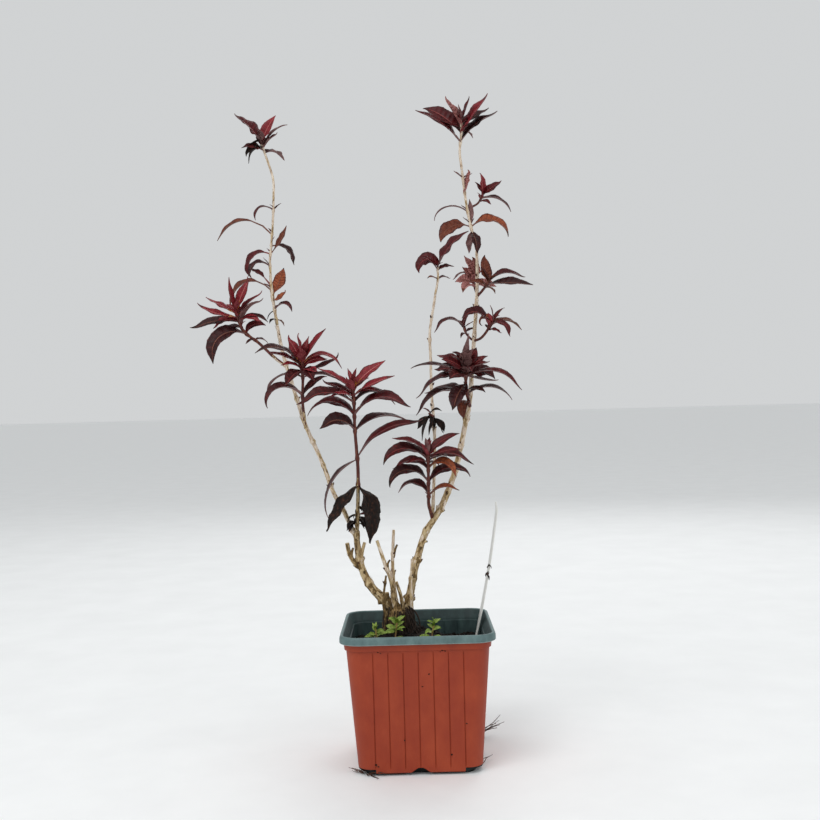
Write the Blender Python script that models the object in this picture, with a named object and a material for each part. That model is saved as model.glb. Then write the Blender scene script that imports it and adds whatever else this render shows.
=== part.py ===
"""A young weigela in its square nursery pot: stems, twigs with opposite leaves, pot, soil and plant label.

Sizes in the tables are millimetres and degrees. The built objects are in metres, +Z up.
The origin is the centre of the flat underside of the pot. The front of the pot faces -Y.
"""
import math
import random
from collections import namedtuple

import bmesh
import bpy
from mathutils import Vector
from mathutils.bvhtree import BVHTree

MM = 0.001

# Pot: a square nursery pot of 9 cm, moulded in one thin sheet
RIM_WIDTH = 91.0
RIM_HEIGHT = 4.6
POT_HEIGHT = 82.0
BODY_TOP_WIDTH = 84.0
BASE_WIDTH = 72.5
WALL = 1.1
FLOOR = 2.0
BASE_EDGE = 1.4
RIM_LIP = 0.7
RIM_TOP_WIDTH = 1.5
CORNER_RADIUS = 9.0
RIM_CORNER_RADIUS = 12.0
CORNER_STEPS = 4
NOTCH_WIDTH = 12.0
NOTCH_HEIGHT = 3.9
NOTCH_DEPTH = 9.0
CORNER_HOLE = 15.0

# Soil and the woody crown that the stems rise from
SOIL_TOP = 67.0
SOIL_MOUND = 10.0
SOIL_RINGS = (0.9, 0.75, 0.6, 0.45, 0.3, 0.12)
MOUND_FOOT = 0.75
MOUND_TOP = 0.3
SOIL_ROUGH = (-0.5, 0.3)
SOIL_SEED = 11
CROWN_CENTRE = (-12.0, 0.0)
CROWN_SIZE = (11.5, 9.5, 17.0)
CROWN_CUT = SOIL_TOP + SOIL_MOUND + 0.3
CROWN_TOP = 95.0
CROWN_LUMP = 0.09
CROWN_SEED = 7

# Limbs are round, twigs are four-sided, and both are made of short straight segments
LIMB_SIDES = 6
TWIG_SIDES = 4
SEGMENT = 9.0

# The clearance between separate pieces
GAP = 0.35
TRIM_STEPS = 24

# Meshes: the weld of a curve's caps, in metres, and what makes the joined sprays lighter
WELD = 0.00002
SHARP_ANGLE = 50.0
FLAT_ANGLE = 4.0
FACE_SHARE = 0.72

# Leaves: a folded blade, widest near its middle, with a pointed tip, whose face turns to the light
LEAF_WIDTH = 0.28
LEAF_THICKNESS = 0.028
LEAF_FOLD = 26.0
LEAF_BEND = 1.25
LEAF_TWIST = 24.0
STALK_WIDTH = 0.9
ROOT_SINK = 0.35
ROOT_SHIFT = (-0.25, 0.1)
BLADE = ((0.0, 0.14), (0.17, 0.64), (0.45, 1.0), (0.78, 0.66))
LIGHT = Vector((0.0, -0.88, 0.48))
TURN_TO_LIGHT = 0.55
TURN_LIMIT = 60.0

# Finishes: colour and roughness
BARK = ((0.46, 0.36, 0.22), 0.75)
OLD_BARK = ((0.20, 0.15, 0.09), 0.85)
YOUNG_LEAF = ((0.36, 0.05, 0.06), 0.5)
OLD_LEAF = ((0.13, 0.04, 0.045), 0.55)
DEAD_LEAF = ((0.12, 0.07, 0.04), 0.85)
GREEN_LEAF = ((0.25, 0.42, 0.10), 0.5)
POT_CLAY = ((0.33, 0.08, 0.04), 0.45)
SOIL_BROWN = ((0.03, 0.024, 0.018), 0.95)
LABEL_WHITE = ((0.8, 0.8, 0.78), 0.4)

# A limb: the points that its middle line passes through, and its radius at the foot and at the tip
Limb = namedtuple("Limb", "name points foot tip finish")

LIMBS = (
    Limb("left_stem", ((-15, 0, 88), (-18, -1, 95), (-27, -1, 104), (-33, -2, 117), (-35, -3, 130),
                       (-35, -4, 139)), 2.9, 1.7, BARK),
    Limb("left_stub", ((-31, -2, 114), (-37, -4, 120), (-40, -5, 126), (-41, -6, 132)), 1.5, 1.2, OLD_BARK),
    Limb("left_tall_stem", ((-35, -3, 133), (-42, 0, 149), (-49, 3, 162), (-56, 7, 181), (-66, 11, 204),
                            (-71, 13, 220), (-79, 17, 247), (-83, 20, 267)), 1.35, 1.0, BARK),
    Limb("right_stem", ((-8, 1, 86), (-4, 2, 98), (0, 3, 116), (6, 4, 135), (12, 5, 144), (19, 5, 156),
                        (26, 6, 174), (32, 6, 198), (36, 6, 217), (38, 4, 238), (40, 1, 260),
                        (42, -2, 287), (42, -5, 307)), 2.3, 0.85, BARK),
    Limb("slender_stem", ((11, 5, 144), (12, 8, 156), (14, 18, 192), (13, 22, 221), (13, 25, 243),
                          (13, 27, 261), (16, 28, 278), (17, 28, 284)), 1.0, 0.75, BARK),
    Limb("middle_stub_front", ((-14, -2, 88), (-14, -2, 100), (-15, -3, 108), (-18, -4, 117),
                               (-23, -5, 133)), 1.6, 0.9, OLD_BARK),
    Limb("middle_stub_back", ((-12, 3, 88), (-14, 5, 108), (-14, 6, 120), (-13, 7, 138)), 1.4, 0.8, BARK),
    Limb("middle_stub_short", ((-9, -3, 86), (-9, -5, 97), (-12, -7, 108)), 1.3, 0.9, OLD_BARK),
    Limb("middle_twig_dark", ((-19, -5, 86), (-20, -7, 97), (-18, -8, 112)), 0.9, 0.6, OLD_BARK),
    Limb("right_cut_stub", ((-3, -2, 90), (-3, -3, 104), (-2, -3, 121)), 1.1, 0.8, OLD_BARK),
)

# A leaf: its length with its stalk, the slope of its root and of its tip, the length of its stalk,
# and how many times as broad as usual it is
Leaf = namedtuple("Leaf", "length rise fall stalk broad", defaults=(0.0, 1.0))

# A pair of opposite leaves: its place along the twig as a share of it, the turn of the pair about
# the twig, the left leaf and the right leaf
Pair = namedtuple("Pair", "place turn left right")

# A spray: one twig and its pairs of leaves, which keep to their own space.
# Its twig goes on from the tip of a limb, or else from the side of what stands at its first point.
Spray = namedtuple("Spray", "name from_tip points foot tip finish pairs")

SPRAYS = (
    Spray("left_upper_spray", True, ((-83, 20, 267.4), (-86, 22, 289), (-87, 24, 307)),
          0.95, 0.75, OLD_LEAF, (
        Pair(0.08, 60, Leaf(9, 20, -70), Leaf(10, 10, -60)),
        Pair(0.23, -30, Leaf(9, -10, -80), Leaf(18, 55, -85)),
        Pair(0.40, -20, None, Leaf(12, 5, 60, 0, 2.0)),
        Pair(0.46, 20, None, Leaf(20, 58, 76, 3, 1.8)),
        Pair(0.55, -20, Leaf(42, 48, -100, 13), None),
        Pair(0.62, -45, Leaf(26, 46, 12, 10), None),
        Pair(0.94, 25, Leaf(21, 42, -115), None))),
    Spray("left_top_spray", True, ((-87, 24, 307.4), (-85, 26, 329), (-84, 27, 347), (-84, 28, 360),
                                   (-87, 29, 371), (-91, 30, 383)), 0.75, 0.7, OLD_LEAF, (
        Pair(0.07, -20, Leaf(29, 26, -136, 5, 1.3), Leaf(21, 40, 72, 3, 1.6)),
        Pair(0.14, 30, None, Leaf(23, 16, -108, 5, 1.5)),
        Pair(0.23, -15, Leaf(46, 52, -70, 18, 0.8), None),
        Pair(0.43, 30, Leaf(20, 38, -113, 0, 0.8), Leaf(8, 48, 35)),
        Pair(0.97, -25, Leaf(17, 20, -110, 0, 1.3), Leaf(24, 62, 0)),
        Pair(1.0, 20, Leaf(26, 62, 22, 0, 2.0), Leaf(22, 72, 52, 0, 1.3)))),
    Spray("left_outer_rosette", False, ((-78, 17, 241), (-85, 14, 247), (-94, 10, 256), (-98, 8, 259),
                                       (-103, 7, 264), (-106, 5, 274)), 1.0, 0.8, YOUNG_LEAF, (
        Pair(0.55, 50, Leaf(9, 10, -60), Leaf(12, 20, -40)),
        Pair(0.68, 12, Leaf(36, 24, -122, 0, 1.25), Leaf(16, 78, -45, 0, 1.4)),
        Pair(0.80, -35, Leaf(25, 10, -30), Leaf(27, 77, -15, 0, 1.1)),
        Pair(0.88, -14, Leaf(34, 12, -30), Leaf(21, 35, -50)),
        Pair(0.94, 15, Leaf(27, 6, 32), Leaf(23, 60, 20)),
        Pair(0.98, -20, Leaf(25, 30, 24), Leaf(19, 57, 10)),
        Pair(1.0, 14, Leaf(23, 62, 100, 0, 1.2), Leaf(24, 74, 58, 0, 1.4)))),
    Spray("left_front_rosette", False, ((-66, 11, 202), (-66, 4, 210), (-66, -4, 219), (-65, -9, 232),
                                       (-65, -12, 242)), 0.95, 0.8, YOUNG_LEAF, (
        Pair(0.54, 20, Leaf(33, 52, -100), Leaf(21, 58, 14)),
        Pair(0.80, -20, Leaf(34, 28, -94, 0, 0.7), Leaf(34, 17, -52, 0, 0.7)),
        Pair(0.86, 25, Leaf(38, 72, -40, 0, 0.9), Leaf(28, 16, 30, 0, 0.7)),
        Pair(0.90, 60, Leaf(21, -10, -55, 0, 1.6), None),
        Pair(0.92, -60, None, Leaf(19, -10, -50, 0, 1.6)),
        Pair(0.95, 14, Leaf(24, 38, 0), Leaf(31, 56, -80, 0, 0.7)),
        Pair(0.98, -16, Leaf(20, 64, 56, 0, 1.4), Leaf(26, 54, 50, 0, 1.2)),
        Pair(1.0, 40, Leaf(18, 80, 76, 0, 1.4), Leaf(17, 68, 72, 0, 1.4)))),
    Spray("middle_spray", True, ((-35, -4.3, 139.4), (-34, -8, 152), (-33, -13, 176), (-34, -18, 201),
                                (-34, -21, 218), (-34.5, -23, 226)), 1.2, 0.85, YOUNG_LEAF, (
        Pair(0.05, 55, Leaf(10, 20, -70), Leaf(9, 10, -80)),
        Pair(0.11, -20, Leaf(9, 10, -80), Leaf(10, 30, -50)),
        Pair(0.33, 14, Leaf(34, -42, -66, 0, 1.2), Leaf(37, -56, -114, 0, 1.7)),
        Pair(0.51, -12, Leaf(45, -25, -104, 0, 0.8), Leaf(49, 58, -15, 0, 0.75)),
        Pair(0.70, 22, Leaf(26, 57, -64, 0, 1.5), Leaf(37, 42, -32)),
        Pair(0.80, -18, Leaf(37, 54, -62), Leaf(41, 56, -60)),
        Pair(0.89, 16, Leaf(38, 40, -58), Leaf(31, 52, -74)),
        Pair(0.94, -20, Leaf(23, 35, 6), Leaf(29, 33, 8)),
        Pair(0.98, 12, Leaf(25, 40, 22, 0, 1.1), Leaf(27, 54, 20, 0, 1.1)),
        Pair(1.0, -60, Leaf(13, 72, 45), Leaf(13, 75, 45)))),
    Spray("right_lower_spray", False, ((11, 5, 145), (9, -4, 154), (9, -10, 160), (9, -17, 170),
                                      (9, -23, 185)), 1.1, 0.85, YOUNG_LEAF, (
        Pair(0.41, -20, Leaf(26, 70, -72), Leaf(22, 50, -42)),
        Pair(0.62, 14, Leaf(33, 60, -82), Leaf(32, 55, -52)),
        Pair(0.80, -18, Leaf(26, 52, -68), Leaf(25, 60, -110)),
        Pair(0.92, 12, Leaf(34, 52, -70), Leaf(31, 35, -62)),
        Pair(0.96, -22, Leaf(19, 41, 7), Leaf(22, 27, -6)),
        Pair(1.0, 14, Leaf(25, 50, -10), Leaf(24, 49, 10)),
        Pair(1.0, 75, Leaf(12, 72, 50), Leaf(12, 72, 50)))),
    Spray("slender_dead_leaves", False, ((13, 19, 206), (11, 13, 209), (14, 11, 207)),
          0.6, 0.55, DEAD_LEAF, (
        Pair(0.7, -30, Leaf(18, -55, -85, 0, 1.5), Leaf(10, 55, -45)),
        Pair(1.0, 20, Leaf(12, -60, -80), Leaf(12, -50, -75)))),
    Spray("slender_tip_tuft", True, ((17, 28, 284.4), (19, 29, 294), (19, 30, 302)), 0.75, 0.65, OLD_LEAF, (
        Pair(0.55, 40, Leaf(10, 30, -30), Leaf(12, 40, -40)),
        Pair(0.88, 24, Leaf(15, 60, 10, 0, 1.4), Leaf(13, 40, -20, 0, 1.3)),
        Pair(1.0, -14, Leaf(21, 70, -118, 0, 1.9), Leaf(31, 64, 24, 0, 1.4)))),
    Spray("right_middle_rosette", False, ((36, 5, 213), (34, -5, 220), (33, -11, 227), (33.5, -15, 236)),
          1.05, 0.8, YOUNG_LEAF, (
        Pair(0.15, 60, Leaf(18, 20, -150, 0, 1.5), None),
        Pair(0.42, 14, Leaf(39, 24, -82, 0, 0.7), Leaf(33, 32, -56, 0, 0.7)),
        Pair(0.52, -30, Leaf(30, 16, -30, 0, 1.2), Leaf(14, 20, -40, 0, 1.2)),
        Pair(0.68, 55, Leaf(23, -25, -75, 0, 1.7), None),
        Pair(0.80, -12, Leaf(36, 18, -76), Leaf(39, 30, -72, 0, 0.7)),
        Pair(0.86, 20, Leaf(37, 27, -16, 0, 0.7), Leaf(22, -18, 0)),
        Pair(0.92, -35, Leaf(24, 42, 8, 0, 1.6), Leaf(18, 30, 0, 0, 1.5)),
        Pair(0.97, -60, None, Leaf(22, 72, 92, 0, 1.9)),
        Pair(1.0, 20, Leaf(13, 74, 16, 0, 1.2), Leaf(12, 86, 38, 0, 1.2)))),
    Spray("right_inner_tuft", False, ((40, 1, 253), (38, 4, 254), (35, 8, 258), (34, 10, 262)),
          0.75, 0.65, OLD_LEAF, (
        Pair(0.90, 14, Leaf(26, 61, -94, 0, 0.8), Leaf(12, 100, 30)),
        Pair(1.0, -30, Leaf(10, 60, 0), Leaf(9, 28, 20)))),
    Spray("right_outer_tuft", False, ((40, 1, 253), (43, -2, 254), (46, -5, 257), (50, -8, 263)),
          0.85, 0.7, YOUNG_LEAF, (
        Pair(0.80, 20, Leaf(24, 78, -60, 0, 1.5), Leaf(25, 40, -60)),
        Pair(0.90, -18, Leaf(15, 100, -140, 0, 1.4), Leaf(18, 30, -118)),
        Pair(1.0, 30, Leaf(11, 100, 60), Leaf(14, 59, 28)))),
    Spray("right_back_tuft", False, ((42, -1, 280), (41, 5, 285), (40, 9, 291)), 0.75, 0.65, OLD_LEAF, (
        Pair(0.85, 20, Leaf(18, 84, 50, 0, 2.2), Leaf(17, 74, 100, 0, 1.9)),
        Pair(1.0, -40, Leaf(19, 62, -70), None))),
    Spray("right_high_tuft", False, ((42, -1, 280), (45, -5, 283), (49, -9, 288)), 0.8, 0.7, OLD_LEAF, (
        Pair(0.85, -14, Leaf(18, 76, 90, 0, 1.6), Leaf(28, 2, -12, 0, 1.3)),
        Pair(1.0, 14, Leaf(10, 70, 40), Leaf(25, 42, -46)))),
    Spray("right_upper_spray", True, ((42, -5, 307.4), (38, -7, 325), (36, -9, 337), (34, -10, 355)),
          0.8, 0.75, OLD_LEAF, (
        Pair(0.24, -68, Leaf(14, -60, -85, 0, 1.5), Leaf(17, -40, -100, 0, 1.4)),
        Pair(0.30, 12, Leaf(25, 18, -80, 3, 1.6), Leaf(30, 38, -76, 4, 1.5)),
        Pair(0.34, 66, Leaf(15, 84, 98, 0, 1.2), None),
        Pair(0.48, -18, Leaf(27, 42, -70, 0, 0.6), None),
        Pair(0.72, -32, None, Leaf(15, 62, 88, 0, 2.3)),
        Pair(0.90, 30, Leaf(8, 34, 25), Leaf(8, 30, 20)))),
    Spray("right_side_tuft", False, ((37, -7, 331), (40, -3, 334), (44, 1, 337), (47, 3, 342)),
          0.7, 0.6, YOUNG_LEAF, (
        Pair(0.88, 20, Leaf(16, 98, 80, 0, 2.0), Leaf(24, 18, -66, 0, 0.8)),
        Pair(1.0, -16, Leaf(10, 70, 50, 0, 1.6), Leaf(15, 40, 20, 0, 1.9)))),
    Spray("right_top_tuft", True, ((34, -10, 355.4), (33, -11, 366), (34, -12, 375), (34.5, -13, 383)),
          0.75, 0.65, OLD_LEAF, (
        Pair(0.58, 10, Leaf(34, 54, 8, 0, 1.3), Leaf(31, 55, 14, 0, 1.2)),
        Pair(0.78, -22, Leaf(31, 50, 22, 0, 1.4), Leaf(28, 52, 46, 0, 1.7)),
        Pair(0.90, 26, Leaf(21, 60, 48, 0, 1.8), Leaf(24, 42, 20, 0, 1.4)),
        Pair(0.97, -40, Leaf(12, 76, 50, 0, 1.3), Leaf(17, 70, 58, 0, 1.7)),
        Pair(1.0, 50, Leaf(11, 80, 60), Leaf(12, 75, 50)))),
    Spray("seedling_left", False, ((-24, -24, 66), (-24, -25, 76), (-24.5, -27, 84)),
          0.5, 0.4, GREEN_LEAF, (
        Pair(0.75, 20, Leaf(8, 10, -20, 1, 1.5), Leaf(8, 20, -10, 1, 1.5)),
        Pair(1.0, -60, Leaf(5, 45, 20, 0, 1.5), Leaf(5, 45, 20, 0, 1.5)))),
    Spray("seedling_middle", False, ((-14, -19, 68), (-13, -20, 78), (-12, -21, 86)),
          0.5, 0.4, GREEN_LEAF, (
        Pair(0.40, 30, Leaf(8, 25, -30, 2, 1.5), Leaf(7, 20, -10, 1, 1.5)),
        Pair(0.75, -40, Leaf(9, 30, -10, 1, 1.5), Leaf(8, 30, 0, 1, 1.5)),
        Pair(1.0, 25, Leaf(7, 40, 10, 0, 1.6), Leaf(7, 45, 10, 0, 1.6)))),
    Spray("seedling_right", False, ((8, -17, 66), (8.5, -18, 76), (10, -18, 84)), 0.5, 0.4, GREEN_LEAF, (
        Pair(0.55, -20, Leaf(10, 10, -20, 1, 1.5), Leaf(7, 20, -10, 1, 1.5)),
        Pair(1.0, 30, Leaf(6, 40, 10, 0, 1.6), Leaf(6, 40, 10, 0, 1.6)))),
)

# Plant label: a blank strip of white plastic pushed into the soil at the back right, seen on its edge
LABEL_FOOT = (35.0, 18.0, 60.0)
LABEL_TOP = (53.0, 25.0, 152.0)
LABEL_THICKNESS = 0.8
LABEL_SHAPE = ((0.0, 6.0), (0.2, 12.0), (0.94, 12.0), (1.0, 9.0))
LABEL_CLEARANCE = 1.2


def clear_scene():
    """Remove every object that the file starts with."""
    for item in list(bpy.data.objects):
        bpy.data.objects.remove(item, do_unlink=True)


def new_collection(name):
    collection = bpy.data.collections.new(name)
    bpy.context.scene.collection.children.link(collection)
    return collection


def make_material(name, finish):
    colour, roughness = finish
    material = bpy.data.materials.new(name)
    material.use_nodes = True
    shader = material.node_tree.nodes["Principled BSDF"]
    shader.inputs["Base Color"].default_value = (*colour, 1.0)
    shader.inputs["Roughness"].default_value = roughness
    shader.inputs["Metallic"].default_value = 0.0
    material.diffuse_color = (*colour, 1.0)
    return material


def add_mesh_object(name, bm, collection, finish=None):
    """Turn a bmesh in millimetres into an object in metres, with its faces pointing out."""
    bmesh.ops.scale(bm, vec=(MM, MM, MM), verts=bm.verts)
    bmesh.ops.recalc_face_normals(bm, faces=bm.faces)
    mesh = bpy.data.meshes.new(name)
    bm.to_mesh(mesh)
    bm.free()
    item = bpy.data.objects.new(name, mesh)
    collection.objects.link(item)
    if finish:
        mesh.materials.append(make_material(name, finish))
    return item


def bridge(bm, rings):
    """Join neighbouring rings of vertices with a band of faces."""
    for low, high in zip(rings, rings[1:]):
        count = len(low)
        for i in range(count):
            j = (i + 1) % count
            bm.faces.new((low[i], low[j], high[j], high[i]))


def solver_tree(item):
    """A search tree over an object's evaluated mesh, in millimetres."""
    depsgraph = bpy.context.evaluated_depsgraph_get()
    evaluated = item.evaluated_get(depsgraph)
    bm = bmesh.new()
    bm.from_mesh(evaluated.to_mesh())
    evaluated.to_mesh_clear()
    bm.transform(item.matrix_world)
    bmesh.ops.scale(bm, vec=(1 / MM, 1 / MM, 1 / MM), verts=bm.verts)
    bmesh.ops.triangulate(bm, faces=bm.faces)
    tree = BVHTree.FromBMesh(bm)
    bm.free()
    return tree


# Smooth lines and limbs

def smooth_path(points, spacing):
    """Points about spacing apart on a smooth curve through the given points."""
    knots = [Vector(p) for p in points]
    knots = [knots[0] * 2 - knots[1]] + knots + [knots[-1] * 2 - knots[-2]]
    path = [knots[1].copy()]
    for a, b, c, d in zip(knots, knots[1:], knots[2:], knots[3:]):
        steps = max(1, round((c - b).length / spacing))
        for i in range(1, steps + 1):
            t = i / steps
            path.append(0.5 * (2 * b + (c - a) * t + (2 * a - 5 * b + 4 * c - d) * t ** 2
                               + (3 * b - a - 3 * c + d) * t ** 3))
    return path


def is_inside(point, tree):
    """True where the first face met on the way to the right is met from within."""
    _, normal, _, distance = tree.ray_cast(point, Vector((1.0, 0.0, 0.0)))
    return distance is not None and normal.x > 0.0


def room_at(point, trees):
    """The least distance from a point to the solids around it, zero inside one."""
    if any(is_inside(point, tree) for tree in trees):
        return 0.0
    return min(tree.find_nearest(point)[3] for tree in trees)


def trim_foot(path, radius, trees):
    """Shorten the foot of a path until it is clear of what it grows from."""
    first = len(path) - 1
    while first > 0 and room_at(path[first - 1], trees) >= radius + GAP:
        first -= 1
    if first == 0:
        return path
    kept = path[first]
    for step in range(1, TRIM_STEPS):
        point = path[first].lerp(path[first - 1], step / TRIM_STEPS)
        if room_at(point, trees) < radius + GAP:
            break
        kept = point
    return path[first:] if kept is path[first] else [kept] + path[first:]


def tube(name, path, foot, tip, sides, collection, finish):
    """A round limb that tapers from foot to tip, made as a curve with filled caps."""
    curve = bpy.data.curves.new(name, "CURVE")
    curve.dimensions = "3D"
    curve.bevel_depth = MM
    curve.bevel_resolution = sides // 2 - 2
    curve.use_fill_caps = True
    spline = curve.splines.new("POLY")
    spline.points.add(len(path) - 1)
    for i, (point, place) in enumerate(zip(spline.points, path)):
        share = i / (len(path) - 1)
        point.co = (*(place * MM), 1.0)
        point.radius = foot + (tip - foot) * share
    holder = bpy.data.objects.new(name + "_curve", curve)
    collection.objects.link(holder)
    bpy.context.view_layer.update()
    depsgraph = bpy.context.evaluated_depsgraph_get()
    mesh = bpy.data.meshes.new_from_object(holder.evaluated_get(depsgraph))
    mesh.name = name
    bm = bmesh.new()
    bm.from_mesh(mesh)
    bmesh.ops.remove_doubles(bm, verts=bm.verts, dist=WELD)
    bmesh.ops.triangulate(bm, faces=bm.faces)
    bmesh.ops.recalc_face_normals(bm, faces=bm.faces)
    bm.to_mesh(mesh)
    bm.free()
    item = bpy.data.objects.new(name, mesh)
    item.matrix_world = holder.matrix_world
    collection.objects.link(item)
    bpy.data.objects.remove(holder, do_unlink=True)
    mesh.materials.clear()
    mesh.materials.append(make_material(name, finish))
    mesh.shade_smooth()
    mesh.set_sharp_from_angle(angle=math.radians(SHARP_ANGLE))
    return item


# Leaves

def place_on(path, share):
    """The point of a path at a share of its length."""
    lengths = [(b - a).length for a, b in zip(path, path[1:])]
    goal = share * sum(lengths)
    for a, b, length in zip(path, path[1:], lengths):
        if goal <= length:
            return a.lerp(b, goal / length)
        goal -= length
    return path[-1].copy()


def turn_to_light(across, up, share, broad):
    """The roll, in degrees, that brings a leaf's face round to the light. Broad leaves turn further."""
    wanted = math.degrees(math.atan2(-across.dot(LIGHT), up.dot(LIGHT)))
    wanted = max(-TURN_LIMIT, min(TURN_LIMIT, wanted))
    return wanted * min(1.0, TURN_TO_LIGHT * broad) * abs(across.dot(LIGHT)) * min(1.0, 3.0 * share)


def leaf_rings(root, leaf, heading, twist, swell):
    """Rings of a folded blade that leaves its root at the slope rise and arches over to the slope fall."""
    heading = math.radians(heading)
    outward = Vector((math.cos(heading), math.sin(heading), 0.0))
    across = Vector((-math.sin(heading), math.cos(heading), 0.0))
    blade_length = leaf.length - leaf.stalk
    width = LEAF_WIDTH * blade_length * leaf.broad
    thickness = LEAF_THICKNESS * blade_length + swell
    stations = [(leaf.stalk + share * blade_length, part * width) for share, part in BLADE]
    if leaf.stalk:
        stations.insert(0, (0.0, STALK_WIDTH))
    stations.append((leaf.length, 0.0))
    rings = []
    place = root - outward * ROOT_SINK
    travelled = 0.0
    for distance, breadth in stations:
        middle = (travelled + distance) / 2 / leaf.length
        slope = math.radians(leaf.rise + (leaf.fall - leaf.rise) * middle ** LEAF_BEND)
        step = outward * math.cos(slope) + Vector((0, 0, math.sin(slope)))
        place = place + step * (distance - travelled)
        travelled = distance
        share = distance / leaf.length
        slope = math.radians(leaf.rise + (leaf.fall - leaf.rise) * share ** LEAF_BEND)
        along = outward * math.cos(slope) + Vector((0, 0, math.sin(slope)))
        up = along.cross(across)
        roll = math.radians(twist * share + turn_to_light(across, up, share, leaf.broad))
        side = across * math.cos(roll) + up * math.sin(roll)
        top = up * math.cos(roll) - across * math.sin(roll)
        fold = math.radians(LEAF_FOLD)
        half = breadth / 2 + swell
        lift = top * half * math.sin(fold)
        if breadth == 0.0:
            rings.append([place + along * swell])
        else:
            rings.append([place - side * half * math.cos(fold) + lift, place + top * thickness / 2,
                          place + side * half * math.cos(fold) + lift, place - top * thickness / 2])
    return rings


def leaf_bmesh(root, leaf, heading, twist, swell=0.0):
    bm = bmesh.new()
    *loops, (tip,) = leaf_rings(root, leaf, heading, twist, swell)
    rings = [[bm.verts.new(corner) for corner in loop] for loop in loops]
    bridge(bm, rings)
    bm.faces.new(reversed(rings[0]))
    point = bm.verts.new(tip)
    last = rings[-1]
    for i in range(4):
        bm.faces.new((last[i], last[(i + 1) % 4], point))
    bmesh.ops.triangulate(bm, faces=bm.faces)
    bmesh.ops.recalc_face_normals(bm, faces=bm.faces)
    return bm


def leaves_of(spray, path, trees):
    """The leaves of a spray, without those that would touch another limb or spray."""
    rng = random.Random(spray.name)
    for pair in spray.pairs:
        node = place_on(path, pair.place)
        for leaf, base in ((pair.left, 180.0), (pair.right, 0.0)):
            twist = rng.uniform(-LEAF_TWIST, LEAF_TWIST)
            root = node + Vector((0.0, 0.0, rng.uniform(*ROOT_SHIFT)))
            if leaf is None:
                continue
            heading = base + pair.turn
            fat = leaf_bmesh(root, leaf, heading, twist, GAP)
            fat_tree = BVHTree.FromBMesh(fat)
            fat.free()
            if any(tree.overlap(fat_tree) for tree in trees):
                continue
            yield leaf_bmesh(root, leaf, heading, twist)


def keep_outer_skin(bm):
    """Keep the largest connected skin: this fills sealed hollows and drops loose scraps."""
    bm.verts.ensure_lookup_table()
    left = set(bm.verts)
    skins = []
    while left:
        skin = set()
        front = [left.pop()]
        while front:
            vert = front.pop()
            skin.add(vert)
            for edge in vert.link_edges:
                other = edge.other_vert(vert)
                if other in left:
                    left.remove(other)
                    front.append(other)
        skins.append(skin)
    skins.sort(key=len)
    for skin in skins[:-1]:
        bmesh.ops.delete(bm, geom=list(skin), context="VERTS")


def join_spray(twig, leaves, collection):
    """Fuse the leaves onto their twig with one union, then remove the loose leaves."""
    loose = new_collection(twig.name + "_leaves")
    for bm in leaves:
        add_mesh_object(twig.name + "_leaf", bm, loose)
    union = twig.modifiers.new("leaves", "BOOLEAN")
    union.operation = "UNION"
    union.operand_type = "COLLECTION"
    union.collection = loose
    union.solver = "MANIFOLD"
    depsgraph = bpy.context.evaluated_depsgraph_get()
    mesh = bpy.data.meshes.new_from_object(twig.evaluated_get(depsgraph))
    bm = bmesh.new()
    bm.from_mesh(mesh)
    keep_outer_skin(bm)
    bmesh.ops.dissolve_limit(bm, angle_limit=math.radians(FLAT_ANGLE), verts=bm.verts, edges=bm.edges)
    bmesh.ops.triangulate(bm, faces=bm.faces)
    bm.to_mesh(mesh)
    bm.free()
    twig.modifiers.clear()
    old = twig.data
    twig.data = mesh
    mesh.name = twig.name
    bpy.data.meshes.remove(old)
    for item in list(loose.objects):
        bpy.data.objects.remove(item, do_unlink=True)
    bpy.data.collections.remove(loose)
    mesh.materials.clear()
    thin = twig.modifiers.new("fewer_faces", "DECIMATE")
    thin.ratio = FACE_SHARE
    return mesh


def build_spray(spray, collection, trees):
    path = smooth_path(spray.points, SEGMENT)
    if not spray.from_tip:
        path = trim_foot(path, spray.foot, trees)
    twig = tube(spray.name, path, spray.foot, spray.tip, TWIG_SIDES, collection, spray.finish)
    mesh = join_spray(twig, leaves_of(spray, path, trees), collection)
    mesh.materials.append(make_material(spray.name, spray.finish))
    return twig


# Woody crown, soil, pot and label

def build_crown(collection):
    """The knobbly foot that all stems rise from, cut flat just above the soil."""
    rng = random.Random(CROWN_SEED)
    bm = bmesh.new()
    bmesh.ops.create_uvsphere(bm, u_segments=14, v_segments=10, radius=1.0)
    for vert in bm.verts:
        lump = 1.0 + rng.uniform(-CROWN_LUMP, CROWN_LUMP)
        vert.co = Vector((vert.co.x * CROWN_SIZE[0] * lump, vert.co.y * CROWN_SIZE[1] * lump,
                          vert.co.z * CROWN_SIZE[2]))
    top = max(vert.co.z for vert in bm.verts)
    bmesh.ops.translate(bm, verts=bm.verts, vec=(*CROWN_CENTRE, CROWN_TOP - top))
    cut = bmesh.ops.bisect_plane(bm, geom=bm.verts[:] + bm.edges[:] + bm.faces[:],
                                 plane_co=(0, 0, CROWN_CUT), plane_no=(0, 0, -1), clear_outer=True)
    rim = [part for part in cut["geom_cut"] if isinstance(part, bmesh.types.BMEdge)]
    bmesh.ops.contextual_create(bm, geom=rim)
    bmesh.ops.triangulate(bm, faces=bm.faces)
    return add_mesh_object("root_crown", bm, collection, OLD_BARK)


def rounded_square(bm, width, radius, height):
    """A ring of vertices: a square with round corners."""
    reach = width / 2 - radius
    ring = []
    for corner in range(4):
        for step in range(CORNER_STEPS + 1):
            angle = math.radians(90.0 * (corner + step / CORNER_STEPS))
            side = (1 if corner in (0, 3) else -1, 1 if corner in (0, 1) else -1)
            ring.append(bm.verts.new((side[0] * reach + radius * math.cos(angle),
                                      side[1] * reach + radius * math.sin(angle), height)))
    return ring


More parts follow.
